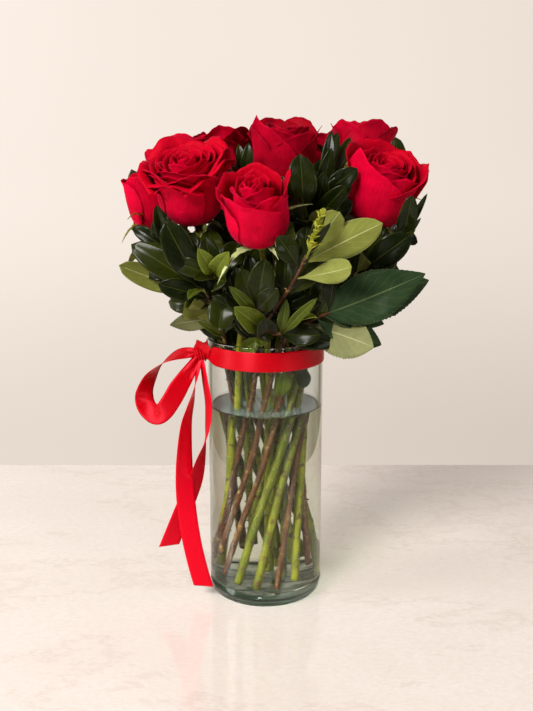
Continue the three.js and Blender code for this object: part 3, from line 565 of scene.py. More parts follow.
class Shader(Nodes):
    """A material whose surface is a Principled BSDF, with the settings given by its socket names."""

    def __init__(self, name, **settings):
        self.material = bpy.data.materials.new(name)
        self.material.use_nodes = True
        super().__init__(self.material.node_tree)
        self.surface = self.tree.nodes["Principled BSDF"]
        self.output = self.tree.nodes["Material Output"]
        for key, value in settings.items():
            self.surface.inputs[key.replace("_", " ")].default_value = value

    def attribute(self, name):
        return self.node("ShaderNodeAttribute", {"attribute_name": name})

    def draw(self):
        """The random draw of the leaf, petal or stem. A petal's draw also holds its rose's tone,
        which paints light and shade on the whole bloom.
        """
        return self.attribute("draw").outputs["Fac"]

    def place(self):
        """The place across and along the sheet, as two values."""
        apart = self.node("ShaderNodeSeparateXYZ", i0=self.attribute("place").outputs["Vector"])
        return apart.outputs["X"], apart.outputs["Y"]

    def bump(self, height, distance, strength=1.0):
        made = self.node("ShaderNodeBump", Height=height, Distance=distance, Strength=strength)
        earlier = self.surface.inputs["Normal"].links
        if earlier:
            self.tree.links.new(earlier[0].from_socket, made.inputs["Normal"])
        self.set("Normal", made.outputs[0])

    def set(self, name, socket):
        self.tree.links.new(socket, self.surface.inputs[name])


def petal_material(name, deep, bright):
    """A velvety petal with soft veins, brighter towards its rim, and dark at its very edge."""
    s = Shader(
        name, Roughness=0.55, Subsurface_Weight=0.1, Subsurface_Radius=(0.003, 0.0002, 0.0004),
        Sheen_Weight=0.22, Sheen_Roughness=0.35, Sheen_Tint=(1.0, 0.07, 0.24, 1), Specular_IOR_Level=0.03,
    )
    across, along = s.place()
    draw = s.draw()
    patch = s.noise(60, 3)
    light = s.math("ADD", s.range(patch, 0.3, 0.7, -0.25, 0.25), s.range(along, 0.2, 0.95, 0.25, 0.8))
    # The draw holds the rose's tone: painted light and shade for the whole bloom, with a little random
    # spread.
    light = s.math("ADD", light, s.range(draw, 0, 1, -0.5, 0.25))
    base = s.mix(light, deep, bright)
    stretched = s.vector(s.math("MULTIPLY", across, 15), s.math("MULTIPLY", along, 4.5), draw)
    veins = s.noise(1, 5, stretched, 0.6)
    base = s.mix(s.range(veins, 0.45, 0.72, 0, 0.32), base, deep)
    base = s.mix(s.range(along, 0.975, 1.0, 0, 0.3), base, (0.2, 0.0, 0.006))
    s.set("Base Color", base)
    s.bump(veins, 0.0008, 0.45)
    s.bump(s.noise(150, 4), 0.0012, 0.5)
    s.bump(s.noise(900, 2), 0.0002, 0.2)
    return s.material


def leaf_material(name, dark, light, rib, roughness, gloss, ribs=0.06):
    """A leaf with a middle rib and slanted side veins. ribs is how much these show."""
    s = Shader(
        name, Roughness=roughness, Coat_Weight=gloss, Coat_Roughness=0.22, Subsurface_Weight=0.03,
        Subsurface_Radius=(0.001, 0.002, 0.0006), Specular_IOR_Level=0.03,
    )
    across, along = s.place()
    offset = s.math("ABSOLUTE", across)
    patch = s.noise(90, 4)
    tone = s.math("ADD", s.range(patch, 0.3, 0.75, -0.1, 0.3), s.range(s.draw(), 0.35, 1, 0, 0.8))
    base = s.mix(tone, dark, light)
    base = s.mix(s.range(s.noise(420, 3), 0.45, 0.7, 0, 0.35), base, dark)
    wobble = s.math("MULTIPLY", s.noise(140, 2), 0.7)
    slant = s.math("SUBTRACT", s.math("MULTIPLY", along, 8), s.math("MULTIPLY", offset, 2.6))
    slant = s.math("ADD", slant, wobble)
    wave = s.math("ABSOLUTE", s.math("SUBTRACT", s.math("FRACT", slant), 0.5))
    side_vein = s.range(wave, 0.0, 0.07, 1, 0)
    middle = s.range(offset, 0.01, 0.04, 1, 0)
    base = s.mix(s.math("MULTIPLY", side_vein, ribs), base, rib)
    base = s.mix(s.math("MULTIPLY", middle, min(0.8, 0.2 + ribs * 3)), base, rib)
    base = s.mix(s.range(offset, 0.93, 1.0, 0, 0.3), base, rib)
    s.set("Base Color", base)
    s.bump(s.math("ADD", s.math("MULTIPLY", side_vein, 0.6), middle), 0.0003, -0.6)
    s.bump(s.noise(200, 3), 0.0006, 0.4)
    return s.material


def stem_material(name, fresh, deep, scar, scars):
    """A stem's skin with scars and fine specks. scars is the noise above which a scar starts."""
    s = Shader(name, Roughness=0.42, Coat_Weight=0.14, Coat_Roughness=0.3, Specular_IOR_Level=0.2)
    tone = s.math("ADD", s.range(s.noise(45, 4), 0.35, 0.65, 0, 0.7), s.range(s.draw(), 0, 1, -0.4, 0.5))
    base = s.mix(tone, deep, fresh)
    spots = s.noise(170, 3)
    base = s.mix(s.range(spots, scars, scars + 0.06, 0, 0.85), base, scar)
    specks = s.noise(620, 2)
    base = s.mix(s.range(specks, 0.62, 0.7, 0, 0.3), base, (0.6, 0.58, 0.4))
    s.set("Base Color", base)
    s.bump(s.noise(260, 4), 0.0012, 0.7)
    s.bump(spots, 0.0016, 0.5)
    return s.material


def ribbon_material(name, turn, deep, bright):
    """Satin, whose gloss is drawn out along a direction given by turn, with threads across it."""
    s = Shader(
        name, Roughness=0.42, Anisotropic=0.95, Anisotropic_Rotation=turn, Specular_IOR_Level=1.0,
        Specular_Tint=(1, 0.09, 0.14, 1), Sheen_Weight=0.03, Sheen_Roughness=0.3,
        Sheen_Tint=(1, 0.1, 0.2, 1),
    )
    across, along = s.place()
    threads = s.noise(1, 1, s.vector(s.math("MULTIPLY", across, 2), s.math("MULTIPLY", along, 900)))
    base = s.mix(s.range(threads, 0.3, 0.7), deep, bright)
    edge = s.range(s.math("ABSOLUTE", across), 0.9, 0.97, 0, 0.5)
    s.set("Base Color", s.mix(edge, base, deep))
    s.bump(threads, 0.0001, 0.2)
    s.bump(s.noise(70, 2), 0.0006, 0.25)
    return s.material


def floor_waves_and_painted_caustics(s, shade):
    """Waves in the vase's floor, just under and in its upper face, and there a darker teal tint
    with clear streaks in it: painted caustic highlights.
    """
    floor = VASE["floor"]
    where = s.node("ShaderNodeTexCoord").outputs["Object"]
    height = s.node("ShaderNodeSeparateXYZ", i0=where).outputs["Z"]
    inside = s.range(height, (floor + 0.5) * MM, (floor + 5) * MM, 1, 0)
    inside = s.math("MULTIPLY", inside, s.range(height, (floor - 3) * MM, (floor - 0.5) * MM))
    waves = s.noise(36, 2, rough=0.6)
    s.bump(s.math("MULTIPLY", waves, inside), 0.006, 1.0)
    # Painted caustics: clear streaks in a darker teal tint.
    streaks = s.mix(s.range(waves, 0.5, 0.55), (0.3, 0.38, 0.33), (1, 1, 1))
    return s.mix(inside, shade, streaks)


def see_through(name, tint, ior, absorb, density, gleam, clear=1.0, floor_with_painted_caustics=False):
    """A clear material that lets light through to what it holds, tinted by its depth."""
    s = Shader(name, Roughness=0.0, IOR=ior, Transmission_Weight=clear, Specular_Tint=(*gleam, 1))
    shade = s.mix(s.range(s.noise(8, 1), 0.3, 0.7), tint, (1, 1, 1))
    if floor_with_painted_caustics:
        shade = floor_waves_and_painted_caustics(s, shade)
    s.set("Base Color", shade)
    path = s.node("ShaderNodeLightPath")
    through = s.node("ShaderNodeBsdfTransparent")
    s.tree.links.new(shade, through.inputs[0])
    both = s.node("ShaderNodeMixShader")
    s.tree.links.new(path.outputs["Is Shadow Ray"], both.inputs[0])
    s.tree.links.new(s.surface.outputs[0], both.inputs[1])
    s.tree.links.new(through.outputs[0], both.inputs[2])
    s.tree.links.new(both.outputs[0], s.output.inputs["Surface"])
    volume = s.node("ShaderNodeVolumeAbsorption", Color=(*absorb, 1), Density=density)
    s.tree.links.new(volume.outputs[0], s.output.inputs["Volume"])
    return s.material


def table_material():
    """Pale polished stone with fine streaks that run along the table."""
    s = Shader("table_marble", Roughness=0.06, Specular_IOR_Level=0.75)
    where = s.node("ShaderNodeTexCoord").outputs["Object"]
    here = s.node("ShaderNodeMapping", Vector=where, Scale=(1, 1.9, 1), Rotation=(0, 0, 0.35)).outputs[0]
    cloud = s.noise(5, 8, here, 0.7)
    grain = s.noise(150, 6, here, 0.8)
    veins = s.math("ABSOLUTE", s.math("SUBTRACT", s.noise(2.3, 9, here, 0.7), 0.5))
    base = s.mix(s.range(cloud, 0.3, 0.7), (0.735, 0.665, 0.62), (0.79, 0.735, 0.695))
    base = s.mix(s.range(grain, 0.42, 0.62, 0, 0.5), base, (0.69, 0.585, 0.525))
    s.set("Base Color", s.mix(s.range(veins, 0.0, 0.016, 0.24, 0), base, (0.52, 0.41, 0.35)))
    return s.material


# The inside face of each petal is darker than its outside: partly the rose's own colour, partly painted
# shade in the creases between the petals.
PETALS = [
    petal_material("petal_outside", (0.26, 0.0, 0.008), (0.66, 0.0005, 0.03)),
    petal_material("petal_inside", (0.16, 0.0, 0.004), (0.46, 0.0, 0.012)),
]
# Leaf materials: the two colours of the blade, the ribs' colour, roughness, gloss and how ribs show.
LEAVES = [
    leaf_material(
        "leaf_top", (0.003, 0.0062, 0.0002), (0.02, 0.027, 0.0012), (0.11, 0.12, 0.025), 0.45, 0.24),
    leaf_material(
        "leaf_under", (0.142, 0.16, 0.03), (0.245, 0.27, 0.066), (0.5, 0.5, 0.26), 0.6, 0.0, 0.14),
    leaf_material(
        "leaf_young", (0.03, 0.045, 0.003), (0.11, 0.14, 0.012), (0.3, 0.32, 0.07), 0.5, 0.15, 0.14),
    leaf_material(
        "salal_top", (0.015, 0.032, 0.012), (0.044, 0.07, 0.028), (0.1, 0.13, 0.055), 0.6, 0.03, 0.2),
    leaf_material(
        "salal_under", (0.145, 0.155, 0.066), (0.25, 0.26, 0.11), (0.36, 0.37, 0.2), 0.6, 0.0, 0.2),
]
ROSE_GREEN = stem_material(
    "rose_green", (0.25, 0.248, 0.007), (0.075, 0.088, 0.003), (0.08, 0.028, 0.01), 0.58)
PALE_GREEN = stem_material("pale_green", (0.4, 0.44, 0.2), (0.24, 0.29, 0.09), (0.3, 0.3, 0.12), 0.8)
TWIG_GREEN = stem_material(
    "twig_green", (0.2, 0.195, 0.01), (0.075, 0.078, 0.004), (0.07, 0.03, 0.012), 0.56)
TWIG_BROWN = stem_material(
    "twig_brown", (0.135, 0.05, 0.013), (0.045, 0.014, 0.004), (0.24, 0.15, 0.05), 0.6)
BUD_GREEN = stem_material("bud_green", (0.34, 0.34, 0.02), (0.16, 0.18, 0.012), (0.3, 0.3, 0.08), 0.8)
# The satin comes in two copies that differ in brightness: a darker one with painted shade for the band,
# loop, stub and knot, and a brighter one with painted light for the hanging tails. Their gloss is also
# drawn out in different directions.
SATIN_WOUND_PAINTED_SHADE = ribbon_material("ribbon_satin_wound_painted_shade", 0.25, (0.38, 0.0, 0.003), (0.5, 0.0, 0.006))
SATIN_HANGING_PAINTED_LIGHT = ribbon_material("ribbon_satin_hanging_painted_light", 0.0, (0.56, 0.0, 0.008), (0.7, 0.0, 0.014))
# Clear materials: tint, index of refraction, what the depth absorbs and how much, and their gleam.
GLASS = see_through(
    "vase_glass", (0.98, 0.99, 0.985), 1.5, (0.33, 0.5, 0.4), 46, (0.26, 0.3, 0.28), floor_with_painted_caustics=True)
WATER_BODY = see_through(
    "vase_water", (0.995, 0.995, 0.975), 1.33, (0.6, 0.56, 0.2), 4, (0.3, 0.32, 0.3))
# The water's face lets only part of the light through and shows the rest as a matte teal-grey tint: a
# painted reflection on the surface.
WATER_FACE = see_through(
    "vase_water_surface_painted_reflection", (0.6, 0.72, 0.66), 1.33, (0.5, 0.55, 0.3), 3, (0.8, 0.9, 0.9), clear=0.86)

# ---- vase and water


VASE_SIDES = 160


def quarter(centre, radius, start):
    """Points of a quarter circle in the lathe's plane, from an angle in degrees."""
    steps = [math.radians(start + 15 * i) for i in range(7)]
    return [(centre[0] + radius * math.cos(a), centre[1] + radius * math.sin(a)) for a in steps]


def make_vase():
    radius, height, wall, floor, corner = VASE.values()
    inner = radius - wall
    half = wall / 2
    rim = (radius - half, height - half)
    profile = [
        (0, 0), (radius - corner - 1, 0), *quarter((radius - corner, corner), corner, -90),
        (radius, corner + 1), (radius, height - half - 1),
        *quarter(rim, half, 0), *quarter(rim, half, 90)[1:],
        (inner, height - half - 1), (inner, floor + 5),
        *reversed(quarter((inner - 4, floor + 4), 4, -90)), (inner - 5, floor), (0, floor),
    ]
    mesh = Mesh()
    lathe(mesh, profile, VASE_SIDES)
    mesh.piece("vase_glass", [GLASS], "glass", ["vase"])


def make_water():
    """The water reaches a hair into the glass wall, and its edge creeps up the wall a little."""
    radius = VASE["radius"] - VASE["wall"] + 0.05
    bottom = VASE["floor"] - 0.05
    top, creep = WATER["top"], WATER["creep"]
    profile = [
        (0, bottom), (radius - 5, bottom), *quarter((radius - 4, bottom + 4), 4, -90),
        (radius, bottom + 5), (radius, top - 0.5), (radius, top), (radius - 0.15, top),
        *[(radius - 0.15 - creep * (1 - math.cos(a)), top - creep * math.sin(a))
          for a in (0.3, 0.6, 0.9, 1.2, 1.5)],
        (radius - 2.4, top - creep), (0, top - creep),
    ]
    mesh = Mesh()
    lathe(mesh, profile, VASE_SIDES)
    mesh.kinds[-VASE_SIDES:] = [1] * VASE_SIDES
    mesh.piece("vase_water", [WATER_BODY, WATER_FACE], "water", ["water"])


make_vase()
make_water()

# ---- roses


def inner_petals(rose, rng):
    """The petals of the heart, from the centre out, each a golden angle on from the last."""
    count, belly, height, wide_open = rose["inner"], rose["belly"], rose["height"], rose["open"]
    made = []
    for i in range(count):
        share = i / (count - 1)
        top = lerp(0.9, lerp(0.93, 0.9, wide_open), share)
        made.append({
            "azimuth": GOLDEN * i + rng.uniform(-12, 12),
            "belly": belly * lerp(0.09, rose["fill"], share ** 0.95),
            "top": top * height + rng.uniform(-0.8, 0.8),
            "wide": lerp(105, 62, share),
            "lean": lerp(-1, lerp(-9, 7, wide_open), min(share * 1.6, 1)),
            "curl": lerp(8, lerp(34, 56, wide_open), share),
            "start": lerp(0.86, 0.72, share), "point": rng.uniform(0.0, 0.08),
            "skew": rng.uniform(-0.4, 0.4), "roll": 0.12, "ruffle": 0.3 + share * 0.6,
        })
    return made


def outer_petals(rose, rng):
    """The petals that stand round the heart, as the rose's list gives them."""
    made = []
    for i, (azimuth, wide, top, lean, curl, point, skew) in enumerate(rose["outer"]):
        made.append({
            "azimuth": azimuth, "belly": rose["belly"] * (1.03 - 0.011 * i), "top": top * rose["height"],
            "wide": wide, "lean": lean, "curl": curl, "start": 0.66, "point": point, "skew": skew,
            "roll": 0.24, "ruffle": 0.8 + 0.4 * rng.random(),
        })
    return made


def petal_grid(petal, height, rng, rows=28, columns=31):
    """The points of one petal, with the bloom's axis upright. Its rim rolls back, sooner at the
    sides than at its tip, which leaves a point there."""
    u = np.linspace(-1, 1, columns)[None, :]
    v = np.linspace(0, 1, rows)[:, None]
    skew = petal["skew"]
    side = np.where(u > skew, (u - skew) / (1 - skew), (skew - u) / (1 + skew))
    bowl = PETAL["rise"] * height
    belly = petal["belly"]
    foot = min(PETAL["foot"], 0.7 * belly)
    swell = np.clip(v / PETAL["belly"], 0, 1) * (np.pi / 2)
    steps = 60
    q = np.linspace(0, 1, steps + 1)[:, None]
    start = petal["start"] - petal["roll"] * side ** 1.5
    curl = petal["curl"] * (0.8 + 0.5 * side)
    turn = np.radians(petal["lean"] * smooth(q / 0.7) + curl * smooth((q - start) / (1 - start)))

    def summed(part):
        pieces = (part(turn[1:]) + part(turn[:-1])) / (2 * steps)
        return np.concatenate([np.zeros((1, columns)), np.cumsum(pieces, 0)])

    out, up = summed(np.sin), summed(np.cos)
    s = np.clip((v - PETAL["belly"]) / (1 - PETAL["belly"]), 0, 1)
    at = np.round(s[:, 0] * steps).astype(int)
    phase = rng.uniform(0, 6.28, 6)
    reach = (petal["top"] - bowl) * 1.06
    notch = 0.012 * np.sin(9 * u + phase[3]) + 0.009 * np.sin(21 * u + phase[4])
    drop = 0.22 + 1.3 * petal["point"]
    reach = reach * (1 - drop * side ** 2.2 + 0.6 * petal["point"] * np.exp(-side / 0.22) + notch)
    r = lerp(foot, belly, np.sin(swell)) + reach * out[at]
    z = 0.4 + bowl * (1 - np.cos(swell)) + reach * up[at]
    ruffle = petal["ruffle"] * s ** 3
    r = r + ruffle * (0.8 * np.sin(3.1 * u + phase[0]) + 0.5 * np.sin(8.3 * u + phase[1]))
    z = z + 0.5 * ruffle * np.sin(5.2 * u + phase[2])
    dent = 0.35 * np.sin(2.3 * u + 5 * v + phase[5]) * np.sin(np.pi * v) * (belly / 25)
    r = (r + dent) * (1 + 0.04 * u * smooth(v / 0.3))
    widening = lerp(0.5, 1, smooth(v / 0.5)) * (1 - 0.1 * s ** 2)
    a = np.radians(petal["azimuth"]) + np.radians(petal["wide"]) * widening * u
    r = np.maximum(r, 0.35)
    return np.stack([r * np.cos(a), r * np.sin(a), z], -1)


def make_bloom(name, rose):
    """Makes a rose's head, and gives a tree that tells where it is."""
    rng = random.Random(name)
    draws = np.random.default_rng(len(name) * 7 + int(rose["height"]))
    axis = leaning(rose["tilt"], rose["toward"])
    right, away = square_to(axis)
    turn = np.array([right, away, axis])
    mesh = Mesh()
    for petal in inner_petals(rose, rng) + outer_petals(rose, rng):
        grid = petal_grid(petal, rose["height"], draws)
        placed = grid @ turn + np.array(rose["base"])
        # The rose's tone, with a little random spread, is each petal's draw: painted light and shade on
        # the bloom.
        closed_sheet(mesh, placed, PETAL["thick"], rose["tone"] + 0.25 * rng.random(), (0, 1))
    mesh.piece(name + "_petals", PETALS, "petal", [name + "_bloom"])
    return mesh.tree()


BLOOM_TREES = [make_bloom(name, rose) for name, rose in ROSES.items()]

# ---- stems


def standing(stem):
    """A stem's foot and mouth in the vase. All stems of a ring are rulings of one hyperboloid."""
    ring, turn, foot = stem

    def at(degrees, z):
        a = math.radians(degrees)
        return Vector((SHELLS[ring] * math.cos(a), SHELLS[ring] * math.sin(a), z))

    bottom = at(turn - TWIST, VASE["floor"] + CLEAR)
    mouth = at(turn, MOUTH_Z)
    return bottom.lerp(mouth, (foot - bottom.z) / (MOUTH_Z - bottom.z)), mouth


def bezier(points, t):
    """A point of a Bezier curve with any number of control points."""
    points = list(points)
    while len(points) > 1:
        points = [a.lerp(b, t) for a, b in zip(points, points[1:])]
    return points[0]


def rise(foot, mouth, end, arrive=None):
    """Control points of the curve from a stem's mouth to a place above."""
    along = (mouth - foot).normalized()
    reach = (end - mouth).length
    first = mouth + along * 0.35 * reach
    second = end - arrive * 0.35 * reach if arrive else end.lerp(first, 0.4)
    return [mouth, first, second, end]


def stem_path(foot, curve, steps=14):
    inside = [foot.lerp(curve[0], i / 16) for i in range(16)]
    return inside + [bezier(curve, i / steps) for i in range(steps + 1)]


def make_rose_stem(name, rose):
    rng = random.Random(name + "_stem")
    axis = leaning(rose["tilt"], rose["toward"])
    right, _ = square_to(axis)
    foot, mouth = standing(rose["stem"])
    top = Vector(rose["base"]) - axis * CLEAR
    neck = top - axis * HIP["height"]
    path = stem_path(foot, rise(foot, mouth, neck, axis))
    thick, thin = ROSE_STEM["radius"], ROSE_STEM["neck"]
    radii = [lerp(thick, thin, i / (len(path) - 1)) for i in range(len(path))]
    path += [neck + axis * HIP["height"] * (i + 1) / 5 for i in range(5)]
    radii += [max(HIP["radius"] * s, thin) for s in ROSE_STEM["swell"]]
    mesh = Mesh()
    path, radii = gnarled(path, radii, rng)
    tube(mesh, path, radii, 12, rng.random())
    for i in range(4, len(path) - 24, 5):
        add_thorn(mesh, path, radii, i, rng)
    tips = [Vector(tip) for tip in rose.get("sepals", ())]
    for i in range(5 - len(tips)):
        out = turned(right, axis, 56 + 72 * i)
        tips.append(top + out * SEPAL["out"] - axis * SEPAL["droop"][i % 2])
    for tip in tips:
        start = top - axis * 2 + (tip - top).normalized() * 2
        add_leaf(mesh, start, tip, SEPAL["width"], "sepal", axis, rng)
    green = PALE_GREEN if name == "rose_front" else ROSE_GREEN
    mesh.piece(name + "_stalk", [ROSE_GREEN, green], "rose_stem", [name + "_stem"])


def gnarled(path, radii, rng, each=3):
    """A stem's path and radii made finer, with a slight sway and a swelling at each node."""
    spots = [i + (j / each) for i in range(len(path) - 1) for j in range(each)] + [len(path) - 1]
    phase, pace = rng.uniform(0, 6), rng.uniform(0.5, 0.8)
    points, sizes = [], []
    for q in spots:
        i = min(int(q), len(path) - 2)
        t = q - i
        share = q / (len(path) - 1)
        sway = 0.9 * math.sin(math.pi * share)
        offset = Vector((math.sin(pace * q + phase), math.cos(1.3 * pace * q + phase), 0)) * sway
        points.append(path[i].lerp(path[i + 1], t) + offset)
        node = max(0.0, math.cos(2 * math.pi * (q + phase) / 4.2)) ** 12
        sizes.append(lerp(radii[i], radii[i + 1], t) * (1 + 0.14 * node * (share < 0.8)))
    return points, sizes


def add_thorn(mesh, path, radii, i, rng):
    """A small hooked thorn, broad at its root."""
    along = (path[i + 1] - path[i]).normalized()
    out = turned(square_to(along)[0], along, rng.uniform(0, 360))
    root = path[i].lerp(path[i + 1], rng.random()) + out * radii[i] * 0.8
    long = rng.uniform(0.8, 2.6)
    tip = root + out * long - along * long * 0.4
    tube(mesh, [root - out * 0.4, root.lerp(tip, 0.5), tip], [1.3, 0.7, 0.15], 6, rng.random() * 0.3)


# ---- leaves


def leaf_grid(base, tip, width, kind, face, rng, rows, columns=9):
    """The points of a leaf's blade from its base to its tip. face is the way its upper side looks."""
    shape = KINDS[kind]
    chord = tip - base
    long = chord.length
    along = chord.normalized()
    side = along.cross(face).normalized()
    up = side.cross(along).normalized()
    t = np.linspace(0, 1, rows)[:, None]
    u = np.linspace(-1, 1, columns)[None, :]
    outline = np.sin(np.pi * np.clip(t, 0, 1) ** shape["belly"])
    slender = lerp(shape["ends"][0], shape["ends"][1], smooth(t / 0.8))
    half = (width / 2) * np.maximum(outline, 0) ** slender
    deep, count = shape["teeth"]
    if deep:
        half = half * (1 + deep * (((t * count) % 1) - 0.5))
    half = np.maximum(half, 0.7 * (1 - t) ** 0.5)
    phase = rng.uniform(0, 6.28)
    wave = shape["wave"] * half * np.sin(2 * np.pi * 1.7 * t + phase + 1.2 * u) * np.abs(u) ** 2
    lift = shape["fold"] * half * (np.abs(u) - 0.35 * u ** 2) * 1.4 + wave
    bow = 4 * shape["arch"] * long * t * (1 - t) - 0.04 * long * t ** 4
    sway = 0.05 * long * math.sin(phase * 1.7) * t * (1 - t)
    at = np.array(base) + np.array(along) * (t * long)[..., None] * np.ones_like(u)[..., None]
    return at + np.array(side) * (u * half + sway)[..., None] + np.array(up) * (lift + bow)[..., None]


def make_buds():
    """A cluster of small folded leaves at the end of a shoot."""
    mesh, rng = Mesh(), random.Random("buds")
    low, high = Vector(BUDS["low"]), Vector(BUDS["high"])
    axis = (high - low).normalized()
    right, _ = square_to(axis)
    tube(mesh, [low - axis * 4, low.lerp(high, 0.5), high], [0.9, 0.8, 0.5], 8)
    count = BUDS["leaves"]
    for i in range(count):
        out = turned(right, axis, GOLDEN * i + rng.uniform(-25, 25))
        root = low.lerp(high, i / (count + 2))
        long = rng.uniform(8, 14) * (1 - 0.3 * i / count)
        way = (out * rng.uniform(0.35, 0.9) + axis).normalized()
        grid = leaf_grid(root, root + way * long, rng.uniform(4, 6), "young", -out + axis, rng, 13, 7)
        closed_sheet(mesh, grid, 0.7, rng.random())
    mesh.piece("foliage_front_buds", [BUD_GREEN], "leaf")


def add_leaf(mesh, base, tip, width, kind, face, rng):
    grid = leaf_grid(base, tip, width, kind, face, rng, KINDS[kind]["rows"])
    closed_sheet(mesh, grid, LEAF_THICK, rng.random(), KINDS[kind]["skins"])


def hits(grid, trees):
    """Whether a sheet over a grid of points meets any of the trees."""
    faces = quads(*grid.shape[:2])[1]
    tree = BVHTree.FromPolygons([Vector(p) for p in grid.reshape(-1, 3)], faces.tolist())
    return any(tree.overlap(other) for other in trees)


REACH_LOW = np.array(cad_box[0]) / MM - 4
REACH_HIGH = np.array(cad_box[1]) / MM + 4


def grow_leaf(mesh, base, tip, width, kind, face, rng, trees):
    """Adds a leaf at the first of a few bends where it clears the blooms and the vase, if any."""
    chord = tip - base
    side = chord.cross(face).normalized()
    for yaw in BENDS[:5]:
        for pitch in BENDS:
            bent = turned(turned(chord, side, pitch), face.normalized(), yaw)
            state = rng.getstate()
            grid = leaf_grid(base, base + bent, width, kind, face, rng, 9, 5)
            rng.setstate(state)
            low, high = grid.min((0, 1)), grid.max((0, 1))
            if (low > REACH_LOW).all() and (high < REACH_HIGH).all() and not hits(grid, trees):
                add_leaf(mesh, base, base + bent, width, kind, face, rng)
                return


def vase_tree():
    """A tree that tells where the vase is. Leaves may hang a little way into its mouth."""
    mesh = Mesh()
    radius, height, wall = VASE["radius"], VASE["height"], VASE["wall"]
    inner, filled = radius - wall, height - 13
    lathe(mesh, [(0, 0), (radius, 0), (radius, height), (inner, height), (inner, filled), (0, filled)], 32)
    return mesh.tree()


def whorl_leaves(curve, whorl, spin):
    """Leaves round the end of a shoot, the outer ones longer and spread wider."""
    count, long, wide, inmost, outmost = whorl
    axis = (bezier(curve, 1) - bezier(curve, 0.96)).normalized()
    right, _ = square_to(axis)
    for i in range(count):
        share = i / max(count - 1, 1)
        spread = math.radians(lerp(inmost, outmost, share))
        out = turned(right, axis, spin + GOLDEN * i)
        base = bezier(curve, 1 - 0.12 * share)
        size = long * lerp(0.7, 1, share)
        tip = base + out * size * math.sin(spread) + axis * size * math.cos(spread)
        yield base, tip, wide * lerp(0.75, 1, share), "obovate", axis


def set_leaf(mesh, curve, rng, trees, share, tip, width, kind="obovate", face="front"):
    """A single leaf on the shoot along a curve."""
    heading = (bezier(curve, 1) - bezier(curve, 0.96)).normalized()
    way = Vector(FACES[face]) if face else heading
    grow_leaf(mesh, bezier(curve, share), Vector(tip), width, kind, way, rng, trees)


def make_leafy_stem(name, item, trees):
    """A leafy stem in the vase. Its first shoot goes on from the stem, and the others leave that."""
    rng = random.Random(name)
    foot, mouth = standing(item["stem"])
    twigs, leaves = Mesh(), Mesh()
    main = None
    for k, shoot in enumerate(item["shoots"]):
        end = Vector(shoot["tip"])
        if k == 0:
            arrive = Vector(shoot["arrive"]).normalized() if "arrive" in shoot else None
            curve = main = rise(foot, mouth, end, arrive)
            path = stem_path(foot, curve)
            shares = [i / (len(path) - 1) for i in range(len(path))]
            radii = [lerp(TWIG["radius"], TWIG["end"], share ** 1.5) for share in shares]
        else:
            start = bezier(main, shoot["from"])
            along = (bezier(main, shoot["from"] + 0.02) - start).normalized()
            curve = [start, start + along * 0.4 * (end - start).length, end]
            path = [bezier(curve, i / 10) for i in range(11)]
            radii = [lerp(TWIG["side"], TWIG["end"], i / 10) for i in range(11)]
        path, radii = gnarled(path, [r * rng.uniform(0.9, 1.12) for r in radii], rng)
        tube(twigs, path, radii, 9, rng.random())
        for i in range(2, len(path) - 12, 2):
            add_thorn(twigs, path, radii, i, rng)
        for leaf in shoot.get("leaves", ()):
            set_leaf(leaves, curve, rng, trees, *leaf)
        if "whorl" in shoot:
            for leaf in whorl_leaves(curve, shoot["whorl"], 40 * k):
                grow_leaf(leaves, *leaf, rng, trees)
        fill_shoot(leaves, curve, rng, trees)
    leaves.piece(name + "_leaves", LEAVES, "leaf", [name])
    twigs.piece(name + "_twigs", [TWIG_GREEN if item["stem"][0] == "inner" else TWIG_BROWN], "leaf")


def fill_shoot(mesh, curve, rng, trees):
    """Leaves all along a shoot, at random. They keep behind the ones that are listed."""
    for i in range(FILL["tries"]):
        share = rng.uniform(0.0, 1.0)
        base = bezier(curve, share)
        axis = (bezier(curve, min(share + 0.03, 1)) - bezier(curve, max(share - 0.03, 0))).normalized()
        out = turned(square_to(axis)[0], axis, GOLDEN * i + rng.uniform(-20, 20))
        spread = math.radians(rng.uniform(15, 60))
        long = rng.uniform(30, 46)
        tip = base + out * long * math.sin(spread) + axis * long * math.cos(spread)
        if base.z < FILL["lowest"] or tip.y < base.y - FILL["before"] or abs(tip.x) > FILL["aside"]:
            continue
        outward = Vector((tip.x, tip.y, 0)).normalized()
        face = outward * rng.uniform(0.4, 1.0) + Vector((0, 0, rng.uniform(0.3, 1.0)))
        if tip.y < FILL["viewed"]:
            face = Vector((0, -0.9, 0.3)) + outward * 0.3
        grow_leaf(mesh, base, tip, rng.uniform(13, 19), "obovate", face, rng, trees)


def make_leaves_in_vase():
    mesh = Mesh()
    face = Vector((0, -1, 0.1))
    for base, tip, width, kind in LEAVES_IN_VASE:
        add_leaf(mesh, Vector(base), Vector(tip), width, kind, face, random.Random(width))
    mesh.piece("leaves_in_vase", LEAVES[:3], "leaf")


for name, rose in ROSES.items():
    make_rose_stem(name, rose)
make_buds()
make_leaves_in_vase()
CLEAR_OF = BLOOM_TREES + [vase_tree()]
for name, item in LEAFY.items():
    make_leafy_stem(name, item, CLEAR_OF)

# ---- ribbon


def catmull(stations, t):
    """A point of the smooth curve through the stations, with t from 0 to 1."""
    n = len(stations) - 1
    i = min(int(t * n), n - 1)
    f = t * n - i
    p = [stations[min(max(j, 0), n)] for j in (i - 1, i, i + 1, i + 2)]
    return 0.5 * (
        2 * p[1] + (p[2] - p[0]) * f + (2 * p[0] - 5 * p[1] + 4 * p[2] - p[3]) * f ** 2
        + (3 * p[1] - p[0] - 3 * p[2] + p[3]) * f ** 3
    )


